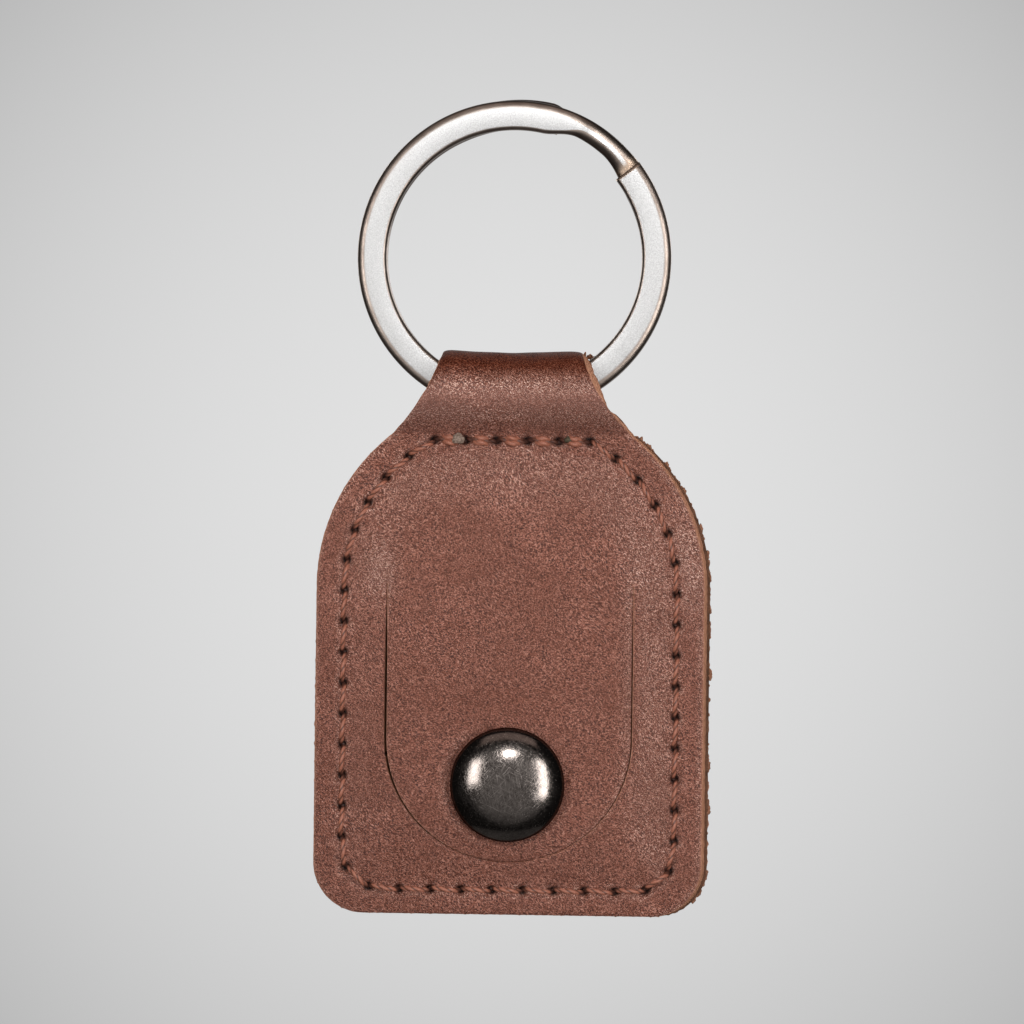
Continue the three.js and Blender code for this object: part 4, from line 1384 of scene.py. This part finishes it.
dress(seam_thread("needle_stitches", -1), copper, "copper_thread", "leather", "needle_thread")
dress(seam_thread("bobbin_stitches", 1), copper, "copper_thread", "leather", "bobbin_thread")
dress(tack_thread("tack_stitches_high", 0.3, 1.15 * THREAD), copper, "copper_thread", "leather")
dress(tack_thread("tack_stitches_low", -0.26, THREAD), copper, "copper_thread", "leather")
grey_crust = melted_thread("grey_crust", (0.1, 0.065, 0.048, 1), (0.36, 0.265, 0.21, 1))
green_crust = melted_thread("green_crust", (0.03, 0.022, 0.013, 1), (0.1, 0.082, 0.052, 1))
dress(melted_bead("thread_end_left", (-6.0, 52.95), 0.72, 0.1), grey_crust, "copper_thread", "leather")
dress(melted_bead("thread_end_right", (6.25, 52.95), 0.42, 0.14), green_crust, "copper_thread", "leather")

dress(ring_wire(), nickel, "satin_nickel", "ring", "split_ring")
dress(cap_dome(), black, "black_nickel", "flap", "cap_shell")
dress(cap_rivet(), black, "black_nickel", "flap", "cap_barrel")
dress(socket_cup(), black, "black_nickel", "flap", "snap_socket")
dress(socket_wire(), spring_steel(), "spring_steel", "flap", "socket_spring")
dress(stud_post(), black, "black_nickel", "leather", "snap_stud")
dress(back_eyelet(), black, "black_nickel", "leather", "stud_eyelet")


# Floor, world, lights and camera

def floor_disc():
    """Pale round floor below the hanging keychain, outside the photograph's frame: rings of points."""
    a = full_turn(FLOOR_SIDES)
    r = np.linspace(1, FLOOR_RADIUS / MM, FLOOR_RINGS)[:, None]
    drop = HANG - FLOOR_DROP / MM
    rings = joined(r * np.cos(a), r * np.sin(a), drop)
    middle = np.array([[0, 0, drop]])
    j = np.arange(FLOOR_SIDES)
    fan = joined(FLOOR_RINGS * FLOOR_SIDES, j, (j + 1) % FLOOR_SIDES)
    quads = grid_quads(FLOOR_RINGS, FLOOR_SIDES, around=True)[:, ::-1]
    piece = make_mesh("floor", np.concatenate([rings.reshape(-1, 3), middle]), [quads, fan])
    piece.data.materials.append(pale_floor())


def pale_world(axis):
    """World that is seen pale, brightest along the view's axis and darker away from it. Mirrored
    and transmitted rays see it too, as a pale patch that fades into a dark studio and is wider beyond
    the keychain than behind the camera. It adds a little even light."""
    world = bpy.data.worlds.new("studio")
    bpy.context.scene.world = world
    world.use_nodes = True
    tree = world.node_tree
    background = tree.nodes["Background"]
    place = shader_node(tree, "TexCoord").outputs["Generated"]
    along = shader_node(tree, "VectorMath", {0: place, 1: axis}, operation="DOT_PRODUCT")
    dot = along.outputs["Value"]
    facing = sums(tree, "ABSOLUTE", dot, 0.0)
    seen = remap(tree, facing, 0.985, 1.0, 0.4525, 0.76)
    beyond = remap(tree, dot, 0.2, 1.0, 0.03, 0.75)
    mirrored = sums(tree, "MAXIMUM", remap(tree, facing, 0.75, 1.0, 0.03, 0.75), beyond)
    path = shader_node(tree, "LightPath").outputs
    bounced = sums(tree, "MAXIMUM", path["Is Glossy Ray"], path["Is Transmission Ray"])
    ambient = 0.2
    from_mirror = sums(tree, "MULTIPLY", sums(tree, "SUBTRACT", mirrored, ambient), bounced)
    from_camera = sums(tree, "MULTIPLY", sums(tree, "SUBTRACT", seen, ambient), path["Is Camera Ray"])
    strength = sums(tree, "ADD", sums(tree, "ADD", from_mirror, ambient), from_camera)
    set_inputs(tree, background, {"Strength": strength, "Color": (1, 1, 1, 1)})


def set_facing(name, data, side, azimuth, elevation, distance):
    """Puts a lamp or the camera at angles and a distance in metres from the middle of the view, or
    from a point to one side of it, facing that point. Gives the object and the way out to it."""
    place = bpy.data.objects.new(name, data)
    bpy.context.scene.collection.objects.link(place)
    a, e = math.radians(azimuth), math.radians(elevation)
    way = Vector((math.sin(a) * math.cos(e), -math.cos(a) * math.cos(e), math.sin(e)))
    place.location = Vector((side * MM, 0, (VIEW_HEIGHT - HANG) * MM)) + distance * way
    place.rotation_mode = "QUATERNION"
    place.rotation_quaternion = (-way).to_track_quat("-Z", "Y")
    return place, way


def soft_box(name, azimuth, elevation, distance, width, height, level, colour=(1.0, 1.0, 1.0)):
    """An area lamp that faces the keychain. Level is the share of full light that it gives."""
    lamp = bpy.data.lights.new(name, "AREA")
    lamp.shape = "RECTANGLE"
    lamp.size = width
    lamp.size_y = height
    lamp.energy = level * math.pi ** 2 * distance ** 2
    lamp.color = colour
    set_facing(name, lamp, 0, azimuth, elevation, distance)


def photo_camera():
    """Camera at the photograph's angle, with its small lean. Gives the way that it looks."""
    camera = bpy.data.cameras.new("photo_camera")
    camera.sensor_width = SENSOR
    camera.lens = SENSOR * VIEW_DISTANCE / VIEW_WIDTH
    camera.clip_start = 0.01
    place, way = set_facing("photo_camera", camera, VIEW_SIDE, VIEW_AZIMUTH, 0, VIEW_DISTANCE * MM)
    lean = Quaternion((0, 0, 1), math.radians(VIEW_ROLL))
    place.rotation_quaternion = place.rotation_quaternion @ lean
    bpy.context.scene.camera = place
    return -way


floor_disc()
pale_world(photo_camera())
soft_box("left_box", -30, 5, 0.6, 0.12, 0.22, 0.31)
soft_box("right_box", 30, 0.5, 0.6, 0.12, 0.34, 0.51)
soft_box("top_lamp", 0, 20, 0.6, 0.09, 0.06, 0.2)
soft_box("ceiling", 0, 56, 0.6, 0.7, 0.3, 0.15, (1.0, 0.82, 0.75))
soft_box("back_left_box", -140, 15, 0.7, 0.4, 0.4, 0.35)
soft_box("back_right_box", 140, 15, 0.7, 0.4, 0.4, 0.35)
bpy.context.scene.view_settings.view_transform = "Standard"
